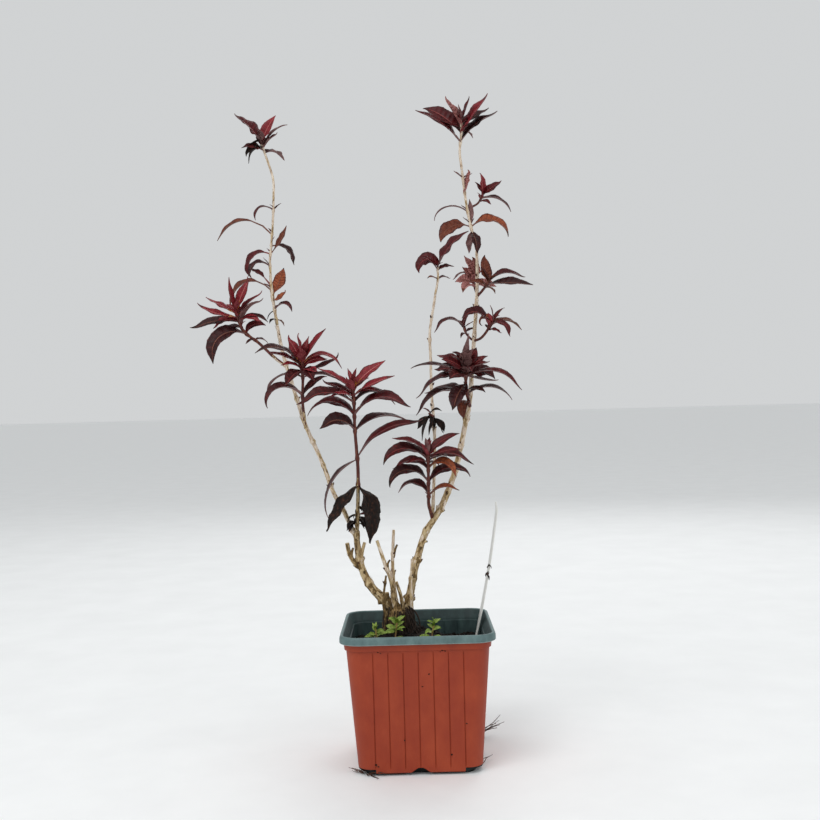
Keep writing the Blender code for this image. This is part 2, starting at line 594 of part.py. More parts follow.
def wall_width(height):
    """Outer width of the pot's tapering body at a height."""
    body_top = POT_HEIGHT - RIM_HEIGHT
    return BASE_WIDTH + (BODY_TOP_WIDTH - BASE_WIDTH) * height / body_top


def build_pot(collection, cutters):
    """A hollow, tapering square pot with a stepped rim, drain notches and cut corners."""
    body_top = POT_HEIGHT - RIM_HEIGHT
    lining = 2 * WALL
    rim_inset = RIM_LIP + RIM_TOP_WIDTH
    sections = (
        (wall_width(0) - 2 * BASE_EDGE, CORNER_RADIUS - BASE_EDGE, 0.0),
        (wall_width(BASE_EDGE), CORNER_RADIUS, BASE_EDGE),
        (wall_width(body_top), CORNER_RADIUS, body_top),
        (RIM_WIDTH - RIM_LIP, RIM_CORNER_RADIUS - RIM_LIP / 2, body_top + RIM_LIP / 2),
        (RIM_WIDTH, RIM_CORNER_RADIUS, POT_HEIGHT - RIM_LIP),
        (RIM_WIDTH - 2 * RIM_LIP, RIM_CORNER_RADIUS - RIM_LIP, POT_HEIGHT),
        (RIM_WIDTH - 2 * rim_inset, RIM_CORNER_RADIUS - rim_inset, POT_HEIGHT),
        (wall_width(body_top) - lining, CORNER_RADIUS - WALL, body_top),
        (wall_width(FLOOR) - lining, CORNER_RADIUS - WALL, FLOOR),
    )
    bm = bmesh.new()
    rings = [rounded_square(bm, *section) for section in sections]
    bridge(bm, rings)
    bm.faces.new(reversed(rings[0]))
    bm.faces.new(rings[-1])
    pot = add_mesh_object("pot", bm, collection, POT_CLAY)
    for corner in range(4):
        add_notch(pot, cutters, corner)
        add_corner_hole(pot, cutters, corner)
    return pot


def add_cut(pot, cutter):
    """Take a hidden cutter's solid away from the pot."""
    cutter.hide_render = True
    cutter.display_type = "WIRE"
    cut = pot.modifiers.new(cutter.name, "BOOLEAN")
    cut.operation = "DIFFERENCE"
    cut.object = cutter


def add_notch(pot, cutters, side):
    """A peaked drain notch in the middle of one lower edge."""
    angle = math.radians(90.0 * side)
    bm = bmesh.new()
    bmesh.ops.create_cone(bm, cap_ends=True, segments=4, radius1=NOTCH_WIDTH / 2, radius2=NOTCH_WIDTH / 2,
                          depth=NOTCH_DEPTH)
    bmesh.ops.scale(bm, vec=(1.0, NOTCH_HEIGHT / (NOTCH_WIDTH / 2), 1.0), verts=bm.verts)
    cutter = add_mesh_object("drain_notch_%d" % side, bm, cutters)
    reach = BASE_WIDTH / 2 * MM
    cutter.location = (reach * math.sin(angle), -reach * math.cos(angle), 0.0)
    cutter.rotation_euler = (math.pi / 2, 0.0, angle)
    add_cut(pot, cutter)


def add_corner_hole(pot, cutters, corner):
    """A drain hole that takes away the lower tip of one corner."""
    angle = math.radians(45.0 + 90.0 * corner)
    bm = bmesh.new()
    bmesh.ops.create_cube(bm, size=1.0)
    bmesh.ops.scale(bm, vec=(CORNER_HOLE, CORNER_HOLE, 2 * NOTCH_HEIGHT), verts=bm.verts)
    cutter = add_mesh_object("drain_corner_%d" % corner, bm, cutters)
    reach = BASE_WIDTH / math.sqrt(2) * MM
    cutter.location = (reach * math.cos(angle), reach * math.sin(angle), 0.0)
    cutter.rotation_euler = (0.0, 0.0, angle)
    add_cut(pot, cutter)


def build_soil(collection):
    """The filling of the pot: it follows the inner wall and rises in a mound to the crown."""
    rng = random.Random(SOIL_SEED)
    spare = 2 * (WALL + GAP)
    foot = FLOOR + GAP
    corner = CORNER_RADIUS - WALL
    width = wall_width(SOIL_TOP) - spare
    bm = bmesh.new()
    rings = [rounded_square(bm, wall_width(foot) - spare, corner, foot),
             rounded_square(bm, width, corner, SOIL_TOP)]
    for share in SOIL_RINGS:
        rise = min(1.0, max(0.0, (MOUND_FOOT - share) / (MOUND_FOOT - MOUND_TOP)))
        height = SOIL_TOP + (SOIL_MOUND - SOIL_ROUGH[1]) * rise
        ring = rounded_square(bm, width * share, min(corner, width * share / 3), height)
        for vert in ring:
            vert.co.x += CROWN_CENTRE[0] * (1.0 - share)
            vert.co.y += CROWN_CENTRE[1] * (1.0 - share)
            vert.co.z += rng.uniform(*SOIL_ROUGH)
        rings.append(ring)
    bridge(bm, rings)
    bm.faces.new(reversed(rings[0]))
    bm.faces.new(rings[-1])
    bmesh.ops.triangulate(bm, faces=bm.faces)
    return add_mesh_object("soil", bm, collection, SOIL_BROWN)


def build_label(collection):
    """A thin blank strip whose foot stands just above the soil."""
    foot = Vector(LABEL_FOOT)
    top = Vector(LABEL_TOP)
    start = foot.lerp(top, (SOIL_TOP + LABEL_CLEARANCE - foot.z) / (top.z - foot.z))
    bm = bmesh.new()
    rings = []
    for share, width in LABEL_SHAPE:
        centre = start.lerp(top, share)
        rings.append([bm.verts.new(centre + Vector((x * LABEL_THICKNESS / 2, y * width / 2, 0)))
                      for x, y in ((-1, -1), (1, -1), (1, 1), (-1, 1))])
    bridge(bm, rings)
    bm.faces.new(reversed(rings[0]))
    bm.faces.new(rings[-1])
    return add_mesh_object("plant_label", bm, collection, LABEL_WHITE)


def main():
    clear_scene()
    parts = new_collection("Weigela")
    cutters = new_collection("Cutters")
    items = [build_pot(parts, cutters), build_soil(parts), build_crown(parts), build_label(parts)]
    bpy.context.view_layer.update()
    trees = [solver_tree(item) for item in items]
    for limb in LIMBS:
        path = trim_foot(smooth_path(limb.points, SEGMENT), limb.foot, trees)
        item = tube(limb.name, path, limb.foot, limb.tip, LIMB_SIDES, parts, limb.finish)
        trees.append(solver_tree(item))
    for spray in SPRAYS:
        item = build_spray(spray, parts, trees)
        trees.append(solver_tree(item))


main()
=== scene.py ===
"""Looks of the young weigela in its square nursery pot.

Stems, twigs and leaves grow by the rule of the part's source, with finer outlines and surfaces.
Sizes in the tables are millimetres and degrees. The front of the pot faces -Y.
"""
import math
import random
from collections import namedtuple

import bmesh
import bpy
from mathutils import Euler, Matrix, Vector, noise

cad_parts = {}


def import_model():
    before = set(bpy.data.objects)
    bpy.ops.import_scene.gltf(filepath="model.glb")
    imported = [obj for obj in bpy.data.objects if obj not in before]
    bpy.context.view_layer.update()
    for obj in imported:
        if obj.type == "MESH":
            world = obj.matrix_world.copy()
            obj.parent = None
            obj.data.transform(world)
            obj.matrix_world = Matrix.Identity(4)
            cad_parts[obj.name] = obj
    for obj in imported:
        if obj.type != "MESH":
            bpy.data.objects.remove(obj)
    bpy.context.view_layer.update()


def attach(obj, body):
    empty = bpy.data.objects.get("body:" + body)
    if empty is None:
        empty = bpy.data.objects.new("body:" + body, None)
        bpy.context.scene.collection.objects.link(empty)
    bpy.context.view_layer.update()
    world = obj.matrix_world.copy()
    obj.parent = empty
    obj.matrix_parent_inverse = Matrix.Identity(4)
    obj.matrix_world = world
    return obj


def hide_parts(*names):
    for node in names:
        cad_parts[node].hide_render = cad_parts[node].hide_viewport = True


MM = 0.001
UP = Vector((0.0, 0.0, 1.0))
FULL_TURN = 2 * math.pi

# A limb: the points that its middle line passes through, and its radius at the foot and at the tip
Limb = namedtuple("Limb", "name points foot tip")

LIMBS = (
    Limb("left_stem", ((-15, 0, 88), (-18, -1, 95), (-27, -1, 104), (-33, -2, 117), (-35, -3, 130),
                       (-35, -4, 139)), 2.9, 1.7),
    Limb("left_stub", ((-31, -2, 114), (-37, -4, 120), (-40, -5, 126), (-41, -6, 132)), 1.5, 1.2),
    Limb("left_tall_stem", ((-35, -3, 133), (-42, 0, 149), (-49, 3, 162), (-56, 7, 181), (-66, 11, 204),
                            (-71, 13, 220), (-79, 17, 247), (-83, 20, 267)), 1.35, 1.0),
    Limb("right_stem", ((-8, 1, 86), (-4, 2, 98), (0, 3, 116), (6, 4, 135), (12, 5, 144), (19, 5, 156),
                        (26, 6, 174), (32, 6, 198), (36, 6, 217), (38, 4, 238), (40, 1, 260),
                        (42, -2, 287), (42, -5, 307)), 2.3, 0.85),
    Limb("slender_stem", ((11, 5, 144), (12, 8, 156), (14, 18, 192), (13, 22, 221), (13, 25, 243),
                          (13, 27, 261), (16, 28, 278), (17, 28, 284)), 1.0, 0.75),
    Limb("middle_stub_front", ((-14, -2, 88), (-14, -2, 100), (-15, -3, 108), (-18, -4, 117),
                               (-23, -5, 133)), 1.6, 0.9),
    Limb("middle_stub_back", ((-12, 3, 88), (-14, 5, 108), (-14, 6, 120), (-13, 7, 138)), 1.4, 0.8),
    Limb("middle_stub_short", ((-9, -3, 86), (-9, -5, 97), (-12, -7, 108)), 1.3, 0.9),
    Limb("middle_twig_dark", ((-19, -5, 86), (-20, -7, 97), (-18, -8, 112)), 0.9, 0.6),
    Limb("right_cut_stub", ((-3, -2, 90), (-3, -3, 104), (-2, -3, 121)), 1.1, 0.8),
)

# A leaf: its length with its stalk, the slope of its root and of its tip, how many times as broad as
# usual it is, and the length of its stalk
Leaf = namedtuple("Leaf", "length rise fall broad stalk", defaults=(1.0, 0.0))

# A pair of opposite leaves: its place along the twig as a share of it, the turn of the pair about
# the twig, the left leaf and the right leaf, and their looks where they differ from their neighbours
Pair = namedtuple("Pair", "place turn left right left_look right_look", defaults=(None, None))

# How old the leaves of a spray are
GROWING = "growing"
AGEING = "ageing"
DEAD = "dead"
GREEN = "green"

# A spray: one twig and its pairs of leaves
Spray = namedtuple("Spray", "name points foot tip age pairs")

SPRAYS = (
    Spray("left_upper_spray", ((-83, 20, 267.4), (-86, 22, 289), (-87, 24, 307)),
          0.95, 0.75, AGEING, (
        (0.08, 60, (9, 20, -70), (10, 10, -60), "black", "bronze"),
        (0.23, -30, (9, -10, -80), (18, 55, -85), "black", "maroon"),
        (0.40, -20, None, (12, 5, 60, 2.0), None, "rust"),
        (0.46, 20, None, (20, 58, 76, 1.8, 3), None, "rust"),
        (0.55, -20, (42, 48, -100, 1, 13), None),
        (0.62, -45, (26, 46, 12, 1, 10), None, "wine"),
        (0.94, 25, (21, 42, -115), None))),
    Spray("left_top_spray", ((-87, 24, 307.4), (-85, 26, 329), (-84, 27, 347), (-84, 28, 360),
                             (-87, 29, 371), (-91, 30, 383)), 0.75, 0.7, AGEING, (
        (0.07, -20, (29, 26, -136, 1.3, 5), (21, 40, 72, 1.6, 3), "wine", "bronze"),
        (0.14, 30, None, (23, 16, -108, 1.5, 5), None, "plum"),
        (0.23, -15, (46, 52, -70, 0.8, 18), None, "bronze"),
        (0.43, 30, (20, 38, -113, 0.8), (8, 48, 35)),
        (0.97, -25, (17, 20, -110, 1.3), (24, 62, 0), "black"),
        (1.0, 20, (26, 62, 22, 2.0), (22, 72, 52, 1.3), "wine", "ruby"))),
    Spray("left_outer_rosette", ((-78, 17, 241), (-85, 14, 247), (-94, 10, 256), (-98, 8, 259),
                                 (-103, 7, 264), (-106, 5, 274)), 1.0, 0.8, GROWING, (
        (0.55, 50, (9, 10, -60), (12, 20, -40)),
        (0.68, 12, (36, 24, -122, 1.25), (16, 78, -45, 1.4)),
        (0.80, -35, (25, 10, -30), (27, 77, -15, 1.1)),
        (0.88, -14, (34, 12, -30), (21, 35, -50)),
        (0.94, 15, (27, 6, 32), (23, 60, 20)),
        (0.98, -20, (25, 30, 24), (19, 57, 10)),
        (1.0, 14, (23, 62, 100, 1.2), (24, 74, 58, 1.4)))),
    Spray("left_front_rosette", ((-66, 11, 202), (-66, 4, 210), (-66, -4, 219), (-65, -9, 232),
                                 (-65, -12, 242)), 0.95, 0.8, GROWING, (
        (0.54, 20, (33, 52, -100), (21, 58, 14)),
        (0.80, -20, (34, 28, -94, 0.7), (34, 17, -52, 0.7)),
        (0.86, 25, (38, 72, -40, 0.9), (28, 16, 30, 0.7), "plum"),
        (0.90, 60, (21, -10, -55, 1.6), None, "maroon"),
        (0.92, -60, None, (19, -10, -50, 1.6), None, "maroon"),
        (0.95, 14, (24, 38, 0), (31, 56, -80, 0.7)),
        (0.98, -16, (20, 64, 56, 1.4), (26, 54, 50, 1.2)),
        (1.0, 40, (18, 80, 76, 1.4), (17, 68, 72, 1.4)))),
    Spray("middle_spray", ((-35, -4.3, 139.4), (-34, -8, 152), (-33, -13, 176), (-34, -18, 201),
                           (-34, -21, 218), (-34.5, -23, 226)), 1.2, 0.85, GROWING, (
        (0.05, 55, (10, 20, -70), (9, 10, -80), "black", "black"),
        (0.11, -20, (9, 10, -80), (10, 30, -50), "black"),
        (0.33, 14, (34, -42, -66, 1.2), (37, -56, -114, 1.7), "black", "black"),
        (0.51, -12, (45, -25, -104, 0.8), (49, 58, -15, 0.75), "plum", "wine"),
        (0.70, 22, (26, 57, -64, 1.5), (37, 42, -32), "plum"),
        (0.80, -18, (37, 54, -62), (41, 56, -60)),
        (0.89, 16, (38, 40, -58), (31, 52, -74)),
        (0.94, -20, (23, 35, 6), (29, 33, 8)),
        (0.98, 12, (25, 40, 22, 1.1), (27, 54, 20, 1.1)),
        (1.0, -60, (13, 72, 45), (13, 75, 45)))),
    Spray("right_lower_spray", ((11, 5, 145), (9, -4, 154), (9, -10, 160), (9, -17, 170),
                                (9, -23, 185)), 1.1, 0.85, GROWING, (
        (0.41, -20, (26, 70, -72), (22, 50, -42), None, "rust"),
        (0.62, 14, (33, 60, -82), (32, 55, -52)),
        (0.80, -18, (26, 52, -68), (25, 60, -110), None, "rust"),
        (0.92, 12, (34, 52, -70), (31, 35, -62)),
        (0.96, -22, (19, 41, 7), (22, 27, -6)),
        (1.0, 14, (25, 50, -10), (24, 49, 10)),
        (1.0, 75, (12, 72, 50), (12, 72, 50)))),
    Spray("slender_dead_leaves", ((13, 19, 206), (11, 13, 209), (14, 11, 207)),
          0.6, 0.55, DEAD, (
        (0.7, -30, (18, -55, -85, 1.5), (10, 55, -45)),
        (1.0, 20, (12, -60, -80), (12, -50, -75)))),
    Spray("slender_tip_tuft", ((17, 28, 284.4), (19, 29, 294), (19, 30, 302)), 0.75, 0.65, AGEING, (
        (0.55, 40, (10, 30, -30), (12, 40, -40)),
        (0.88, 24, (15, 60, 10, 1.4), (13, 40, -20, 1.3), "wine"),
        (1.0, -14, (21, 70, -118, 1.9), (31, 64, 24, 1.4), "wine", "wine"))),
    Spray("right_middle_rosette", ((36, 5, 213), (34, -5, 220), (33, -11, 227), (33.5, -15, 236)),
          1.05, 0.8, GROWING, (
        (0.15, 60, (18, 20, -150, 1.5), None, "bronze"),
        (0.42, 14, (39, 24, -82, 0.7), (33, 32, -56, 0.7)),
        (0.52, -30, (30, 16, -30, 1.2), (14, 20, -40, 1.2)),
        (0.68, 55, (23, -25, -75, 1.7), None, "plum"),
        (0.80, -12, (36, 18, -76), (39, 30, -72, 0.7)),
        (0.86, 20, (37, 27, -16, 0.7), (22, -18, 0)),
        (0.92, -35, (24, 42, 8, 1.6), (18, 30, 0, 1.5), "wine"),
        (0.97, -60, None, (22, 72, 92, 1.9), None, "maroon"),
        (1.0, 20, (13, 74, 16, 1.2), (12, 86, 38, 1.2)))),
    Spray("right_inner_tuft", ((40, 1, 253), (38, 4, 254), (35, 8, 258), (34, 10, 262)),
          0.75, 0.65, AGEING, (
        (0.90, 14, (26, 61, -94, 0.8), (12, 100, 30)),
        (1.0, -30, (10, 60, 0), (9, 28, 20)))),
    Spray("right_outer_tuft", ((40, 1, 253), (43, -2, 254), (46, -5, 257), (50, -8, 263)),
          0.85, 0.7, GROWING, (
        (0.80, 20, (24, 78, -60, 1.5), (25, 40, -60), None, "bronze"),
        (0.90, -18, (15, 100, -140, 1.4), (18, 30, -118), "rust"),
        (1.0, 30, (11, 100, 60), (14, 59, 28)))),
    Spray("right_back_tuft", ((42, -1, 280), (41, 5, 285), (40, 9, 291)), 0.75, 0.65, AGEING, (
        (0.85, 20, (18, 84, 50, 2.2), (17, 74, 100, 1.9), "dusty", "dusty"),
        (1.0, -40, (19, 62, -70), None))),
    Spray("right_high_tuft", ((42, -1, 280), (45, -5, 283), (49, -9, 288)), 0.8, 0.7, AGEING, (
        (0.85, -14, (18, 76, 90, 1.6), (28, 2, -12, 1.3), "bronze", "plum"),
        (1.0, 14, (10, 70, 40), (25, 42, -46)))),
    Spray("right_upper_spray", ((42, -5, 307.4), (38, -7, 325), (36, -9, 337), (34, -10, 355)),
          0.8, 0.75, AGEING, (
        (0.24, -68, (14, -60, -85, 1.5), (17, -40, -100, 1.4), "maroon", "plum"),
        (0.30, 12, (25, 18, -80, 1.6, 3), (30, 38, -76, 1.5, 4), "bronze", "rust"),
        (0.34, 66, (15, 84, 98, 1.2), None),
        (0.48, -18, (27, 42, -70, 0.6), None),
        (0.72, -32, None, (15, 62, 88, 2.3), None, "dusty"),
        (0.90, 30, (8, 34, 25), (8, 30, 20)))),
    Spray("right_side_tuft", ((37, -7, 331), (40, -3, 334), (44, 1, 337), (47, 3, 342)),
          0.7, 0.6, GROWING, (
        (0.88, 20, (16, 98, 80, 2.0), (24, 18, -66, 0.8), "ruby", "maroon"),
        (1.0, -16, (10, 70, 50, 1.6), (15, 40, 20, 1.9)))),
    Spray("right_top_tuft", ((34, -10, 355.4), (33, -11, 366), (34, -12, 375), (34.5, -13, 383)),
          0.75, 0.65, AGEING, (
        (0.58, 10, (34, 54, 8, 1.3), (31, 55, 14, 1.2), "wine", "plum"),
        (0.78, -22, (31, 50, 22, 1.4), (28, 52, 46, 1.7), "wine", "ruby"),
        (0.90, 26, (21, 60, 48, 1.8), (24, 42, 20, 1.4), "dusty", "plum"),
        (0.97, -40, (12, 76, 50, 1.3), (17, 70, 58, 1.7)),
        (1.0, 50, (11, 80, 60), (12, 75, 50)))),
    Spray("seedling_left", ((-24, -24, 66), (-24, -25, 76), (-24.5, -27, 84)),
          0.5, 0.4, GREEN, (
        (0.75, 20, (8, 10, -20, 1.5, 1), (8, 20, -10, 1.5, 1)),
        (1.0, -60, (5, 45, 20, 1.5), (5, 45, 20, 1.5)))),
    Spray("seedling_middle", ((-14, -19, 68), (-13, -20, 78), (-12, -21, 86)),
          0.5, 0.4, GREEN, (
        (0.40, 30, (8, 25, -30, 1.5, 2), (7, 20, -10, 1.5, 1)),
        (0.75, -40, (9, 30, -10, 1.5, 1), (8, 30, 0, 1.5, 1)),
        (1.0, 25, (7, 40, 10, 1.6), (7, 45, 10, 1.6)))),
    Spray("seedling_right", ((8, -17, 66), (8.5, -18, 76), (10, -18, 84)), 0.5, 0.4, GREEN, (
        (0.55, -20, (10, 10, -20, 1.5, 1), (7, 20, -10, 1.5, 1)),
        (1.0, 30, (6, 40, 10, 1.6), (6, 40, 10, 1.6)))),
)

# Hearts, the young leaves in the middle of a rosette: how many, the length of the longest,
# how broad, the look of the inner ones and that of the outer ones
HEARTS = {
    "left_outer_rosette": (8, 20, 1.2, "crimson", "ruby"),
    "left_front_rosette": (9, 20, 1.3, "crimson", "ruby"),
    "middle_spray": (8, 19, 1.1, "crimson", "ruby"),
    "right_lower_spray": (8, 16, 1.1, "ruby", "wine"),
    "right_middle_rosette": (12, 24, 1.9, "wine", "maroon"),
    "right_outer_tuft": (5, 12, 1.3, "ruby", "wine"),
    "right_inner_tuft": (4, 10, 1.2, "maroon", "plum"),
    "right_high_tuft": (4, 13, 1.6, "bronze", "bronze"),
    "right_back_tuft": (7, 17, 1.9, "dusty", "dusty"),
    "right_side_tuft": (3, 11, 1.3, "ruby", "wine"),
    "right_top_tuft": (4, 13, 1.4, "ruby", "wine"),
    "left_top_spray": (5, 20, 1.9, "wine", "maroon"),
    "seedling_left": (6, 7.5, 1.5, "green", "green"),
    "seedling_middle": (9, 8.5, 1.5, "green", "green"),
    "seedling_right": (7, 8, 1.5, "green", "green"),
}
BRIGHT_SPRAYS = ("left_outer_rosette", "left_front_rosette", "middle_spray")
HEART_TURN = 137.5
HEART_DEPTH = 6.0

# Twigs that are barked, and twigs that are barked up to a height
BARKED = ("left_top_spray", "left_upper_spray", "right_upper_spray", "right_top_tuft", "slender_tip_tuft")
HALF_BARKED = {"middle_spray": 166.0, "left_outer_rosette": 246.0, "left_front_rosette": 210.0}

# How much paler than usual the bark of a limb or twig is, and the ages where bark changes
PALENESS = {"slender_stem": 0.6, "left_tall_stem": 0.25, "middle_stub_back": 0.7,
            "middle_stub_front": 0.45, "right_cut_stub": 0.5, "left_stub": -0.3,
            "middle_twig_dark": -0.6, "right_stem": 0.05}
TWIG_PALENESS = -0.6
FOOT_PALENESS = -0.3
OLD_BELOW = -0.35
PALE_FROM = 0.3

# Blade of a leaf: shares of its length with shares of its full width
BLADE = ((0.0, 0.14), (0.05, 0.28), (0.11, 0.48), (0.18, 0.68), (0.28, 0.88), (0.4, 1.0), (0.52, 1.0),
         (0.64, 0.88), (0.76, 0.64), (0.86, 0.36), (0.93, 0.17), (1.0, 0.02))
LEAF_WIDTH = 0.28
LEAF_BEND = 1.25
LEAF_TWIST = 24.0
LIGHT = Vector((0.0, -0.88, 0.48))
TURN_TO_LIGHT = 0.55
TURN_LIMIT = 60.0
STALK_WIDTH = 0.9
ROOT_SINK = 0.35
ROOT_SHIFT = (-0.25, 0.1)
SPINE_STEPS = 48

# Surface of a leaf: how far its tip hooks, its fold at the rib and towards the edge, its waves,
# veins and teeth, and the columns of points across it
HOOK = (-25.0, 75.0)
HOOK_FROM = 0.8
FOLD_AT_RIB = (26.0, 38.0)
FOLD_AT_EDGE = (12.0, -14.0)
WAVES = (1.6, 3.4)
WAVE_SIZE = (0.05, 0.13)
CRUMPLE = 0.055
PUFF = 0.045
TOOTH = 0.03
VEINS = 8
VEIN_SLANT = 0.2
VEIN_STRIP = 0.007
COLUMNS = (-1.0, -0.82, -0.58, -0.32, -0.07, 0.0, 0.07, 0.32, 0.58, 0.82, 1.0)
RIB = 0.07
EDGE = 0.82
GOLD_ON_RIB = 0.3
GOLD_ON_BLADE = 0.16
LEAF_SKIN = 0.26
TIP_FROM = (0.8, 0.97)
DRY_TIP_FROM = 0.5

# Leaves longer than this may have a small leaf in their axil
AXIL_LEAF_FROM = 15.0
AXIL_LEAF_CHANCE = 0.7

# The crumple of dry leaves differs from run to run unless the seed of the noise is set
NOISE_SEED = 1

# Short spurs on the stems: two ends, radius, finish of the side and of the end
SPURS = (
    ((-33.5, -3, 120), (-30.5, -5, 132), 1.1, "bark", "cut_wood"),
    ((-13.5, 6, 121), (-11, 5, 129), 0.75, "old_bark", "root"),
    ((-39, -5, 123), (-37.5, -7, 129), 0.8, "old_bark", "root"),
    ((-17.5, -4, 116), (-15.5, -6, 121), 0.7, "old_bark", "root"),
    ((4, 3, 128), (7.5, 1, 131), 0.8, "bark", "root"),
)
BUD_SHAPE = ((-0.1, 0.55), (0.15, 0.95), (0.4, 1.0), (0.7, 0.62), (1.0, 0.08))
BUD_SIDES = 8

# Sides of the tubes, and how far apart the rings of limbs and twigs lie
LIMB_SIDES = 22
TWIG_SIDES = 12
SPUR_SIDES = 14
FIBRE_SIDES = 7
ROOTLET_SIDES = 6
LIMB_SPACING = 0.9
TWIG_SPACING = 0.8

# Bark: depth of its relief on limbs and twigs, and how the foot of a thick limb flares
LIMB_RELIEF = 0.13
TWIG_RELIEF = 0.09
THICK_FOOT = 2.0
FLARE = 0.35
FLARE_REACH = 9.0
BARE_NODES = 0.35
FLAKE_SPACING = 3.0
FLAKE_CHANCE = 0.45
FLAKE_FROM_RADIUS = 0.9

# Pot
RIM_WIDTH = 91.0
RIM_HEIGHT = 4.6
POT_HEIGHT = 82.0
BODY_TOP_WIDTH = 84.0
BASE_WIDTH = 72.5
WALL = 1.1
CORNER_RADIUS = 9.0
RIM_CORNER_RADIUS = 12.0
CORNER_STEPS = 9
PANEL = 8.7
GROOVES = (-3, -2, -1, 0, 1, 2, 3)
GROOVE_DEPTH = 0.55
GROOVE_HALF = 0.34
GROOVE_FLOOR = 0.13
GROOVE_STEP = 0.1
POT_SHARP = 35.0
NOTCH_WIDTH = 12.5
NOTCH_HEIGHT = 4.6
CORNER_HOLE = 15.0

# Sections of the pot. Foot: change of the base's width and of the corner's radius, and height. Wall:
# height where the wall's width is taken, changes, rise over that height, press of the grooves and
# finish. Rim: width and radius taken off the rim, depth under the top, and finish. Inside: height,
# width and radius taken off the wall, and press of the grooves, where -1 makes ribs.
# The foot's underside is near-black slate: painted shadow in the gap under the raised wall.
POT_FOOT = ((-14.0, -5.0, 1.0), (-13.0, -4.6, 0.0), (-8.5, -3.6, 0.0), (-7.5, -3.2, 1.3),
            (-2.0, -1.0, 1.5))
POT_WALL = (
    (0.0, -0.8, -0.4, 1.6, 0, "clay"), (2.2, 0.0, 0.0, 0.0, 0, "clay"), (4.0, 0.0, 0.0, 0.0, 0, "clay"),
    *[(height, 0.0, 0.0, 0.0, 1, "clay") for height in (6.0, 14.0, 24.0, 34.0, 44.0, 54.0, 64.0, 71.0)],
    (72.6, 0.0, 0.0, 0.0, 0, "clay"), (73.4, 0.0, 0.0, 0.0, 0, "clay"), (73.6, 2.0, 0.8, 0.1, 0, "clay"),
    (77.0, 2.2, 0.9, 0.0, 0, "clay"), (77.0, 2.2, 0.9, 0.4, 0, "slate"),
)
# The pale slate band just under the rim's outer edge is a painted highlight.
POT_RIM = ((0.9, 0.4, 4.5, "slate"), (0.0, 0.0, 4.1, "slate_pale"), (0.0, 0.0, 3.1, "slate"),
           (0.1, 0.0, 1.6, "slate"), (0.7, 0.3, 0.5, "slate"), (1.8, 0.8, 0.0, "slate"),
           (3.6, 1.7, 0.0, "slate"), (4.5, 2.1, 0.5, "slate"), (5.0, 2.4, 1.6, "slate_dark"))
# The inner lip and the inside are slate darkened with painted shade.
POT_INSIDE = ((77.0, 2.2, 1.0, 0), (75.6, 2.3, 1.1, 0), (75.0, 3.4, 1.6, 0), (60.0, 3.6, 1.6, -1),
              (30.0, 3.0, 1.4, -1), (3.0, 2.6, 1.2, 0))

# Specks of soil on the front of the pot: x and z
SPECKS = ((-23, 73), (-21.5, 72.4), (14, 73.2), (15.6, 72.8), (12.8, 72.5), (6, 59.6), (2, 52.4),
          (-26, 7), (-24.5, 5.8), (27, 30), (-9, 21), (18, 12))

# Soil
SOIL_FOOT = 6.0
SOIL_TOP = 67.0
SOIL_MOUND = 10.0
MOUND_FOOT = 0.75
MOUND_TOP = 0.3
SOIL_RINGS = 44
SIDE_STEPS = 18
SOIL_CORNER_STEPS = 7
CRUMBS = 1500
GRITS = 22

# Crown, and the ages where its finish changes
CROWN_CENTRE = (-12.0, 0.0)
CROWN_SIZE = (9.2, 8.2, 16.0)
CROWN_TOP = 95.0
CROWN_WOOD_FROM = 80.0
WOOD_AGE = 4.0
BARK_AGE = -2.0
FIBRES = 60

# Plant label
LABEL_FOOT = (35.0, 18.0, 60.0)
LABEL_TOP = (53.0, 25.0, 152.0)
LABEL_THICKNESS = 0.8
LABEL_WIDTH = 12.0
LABEL_ROWS = 40
LABEL_ROUND_FROM = 0.93
LABEL_SECTION = ((-0.6, -1), (0.6, -1), (1, -0.94), (1, 0.94),
                 (0.6, 1), (-0.6, 1), (-1, 0.94), (-1, -0.94))

# Rootlets: the start of each bunch, its course and its number
ROOTLETS = (((34.0, 33.0, 1.6), (1.9, 0.9, 0.6), 10), ((34.0, -20.0, 0.8), (0.6, 0.9, 0.1), 4),
            ((-33.0, -30.0, 1.0), (-0.5, 1.2, 0.1), 5), ((-30.0, -34.0, 0.8), (0.7, -0.5, 0.0), 4))

# Dried scraps: the place, heading, number and length of each bunch
SCRAPS = (((44.8, 15.2, 108.5), 0, 3, 6.0), ((46.1, 15.6, 115.0), 0, 2, 4.5),
          ((-35.0, -5.5, 146.0), 0, 6, 11.0), ((-34.5, -5.5, 152.0), 0, 3, 8.0),
          ((12.5, 13.0, 207.0), 0, 4, 12.0), ((-91.5, 29.0, 384.0), 185, 1, 20.0),
          ((-90.5, 28.0, 382.0), 200, 1, 15.0))

# Floor, and lights: place, target, size and power, in metres and watts
FLOOR_REACH = 60.0
WORLD_COLOUR = (228, 230, 231)
WORLD_STRENGTH = 0.82
LIGHTS = {
    "key": ((-0.6, -1.0, 1.5), (0.0, 0.0, 0.2), 0.9, 11.5),
    "fill": ((1.2, -0.9, 0.7), (0.0, 0.0, 0.2), 1.2, 3.0),
    "rim": ((0.3, 1.2, 1.1), (0.0, 0.0, 0.25), 0.9, 4.5),
}

# Camera: its place, its lens and its lean
CAMERA_PLACE = (-0.00092, -0.690, 0.2116)
CAMERA_LENS = 49.61
CAMERA_SENSOR = 36.0
CAMERA_LEAN = -1.5

# A finish: its shades, grain and stretch along Z, roughness, bump and its grain, how strongly it
# shines, and the places of the shades on its grain. The defaults are those of a leaf.
Finish = namedtuple("Finish", "shades grain stretch rough bump bump_grain shine places",
                    defaults=(2.6, 1.0, (0.44, 0.62), 0.12, 0.5, 0.25, None))
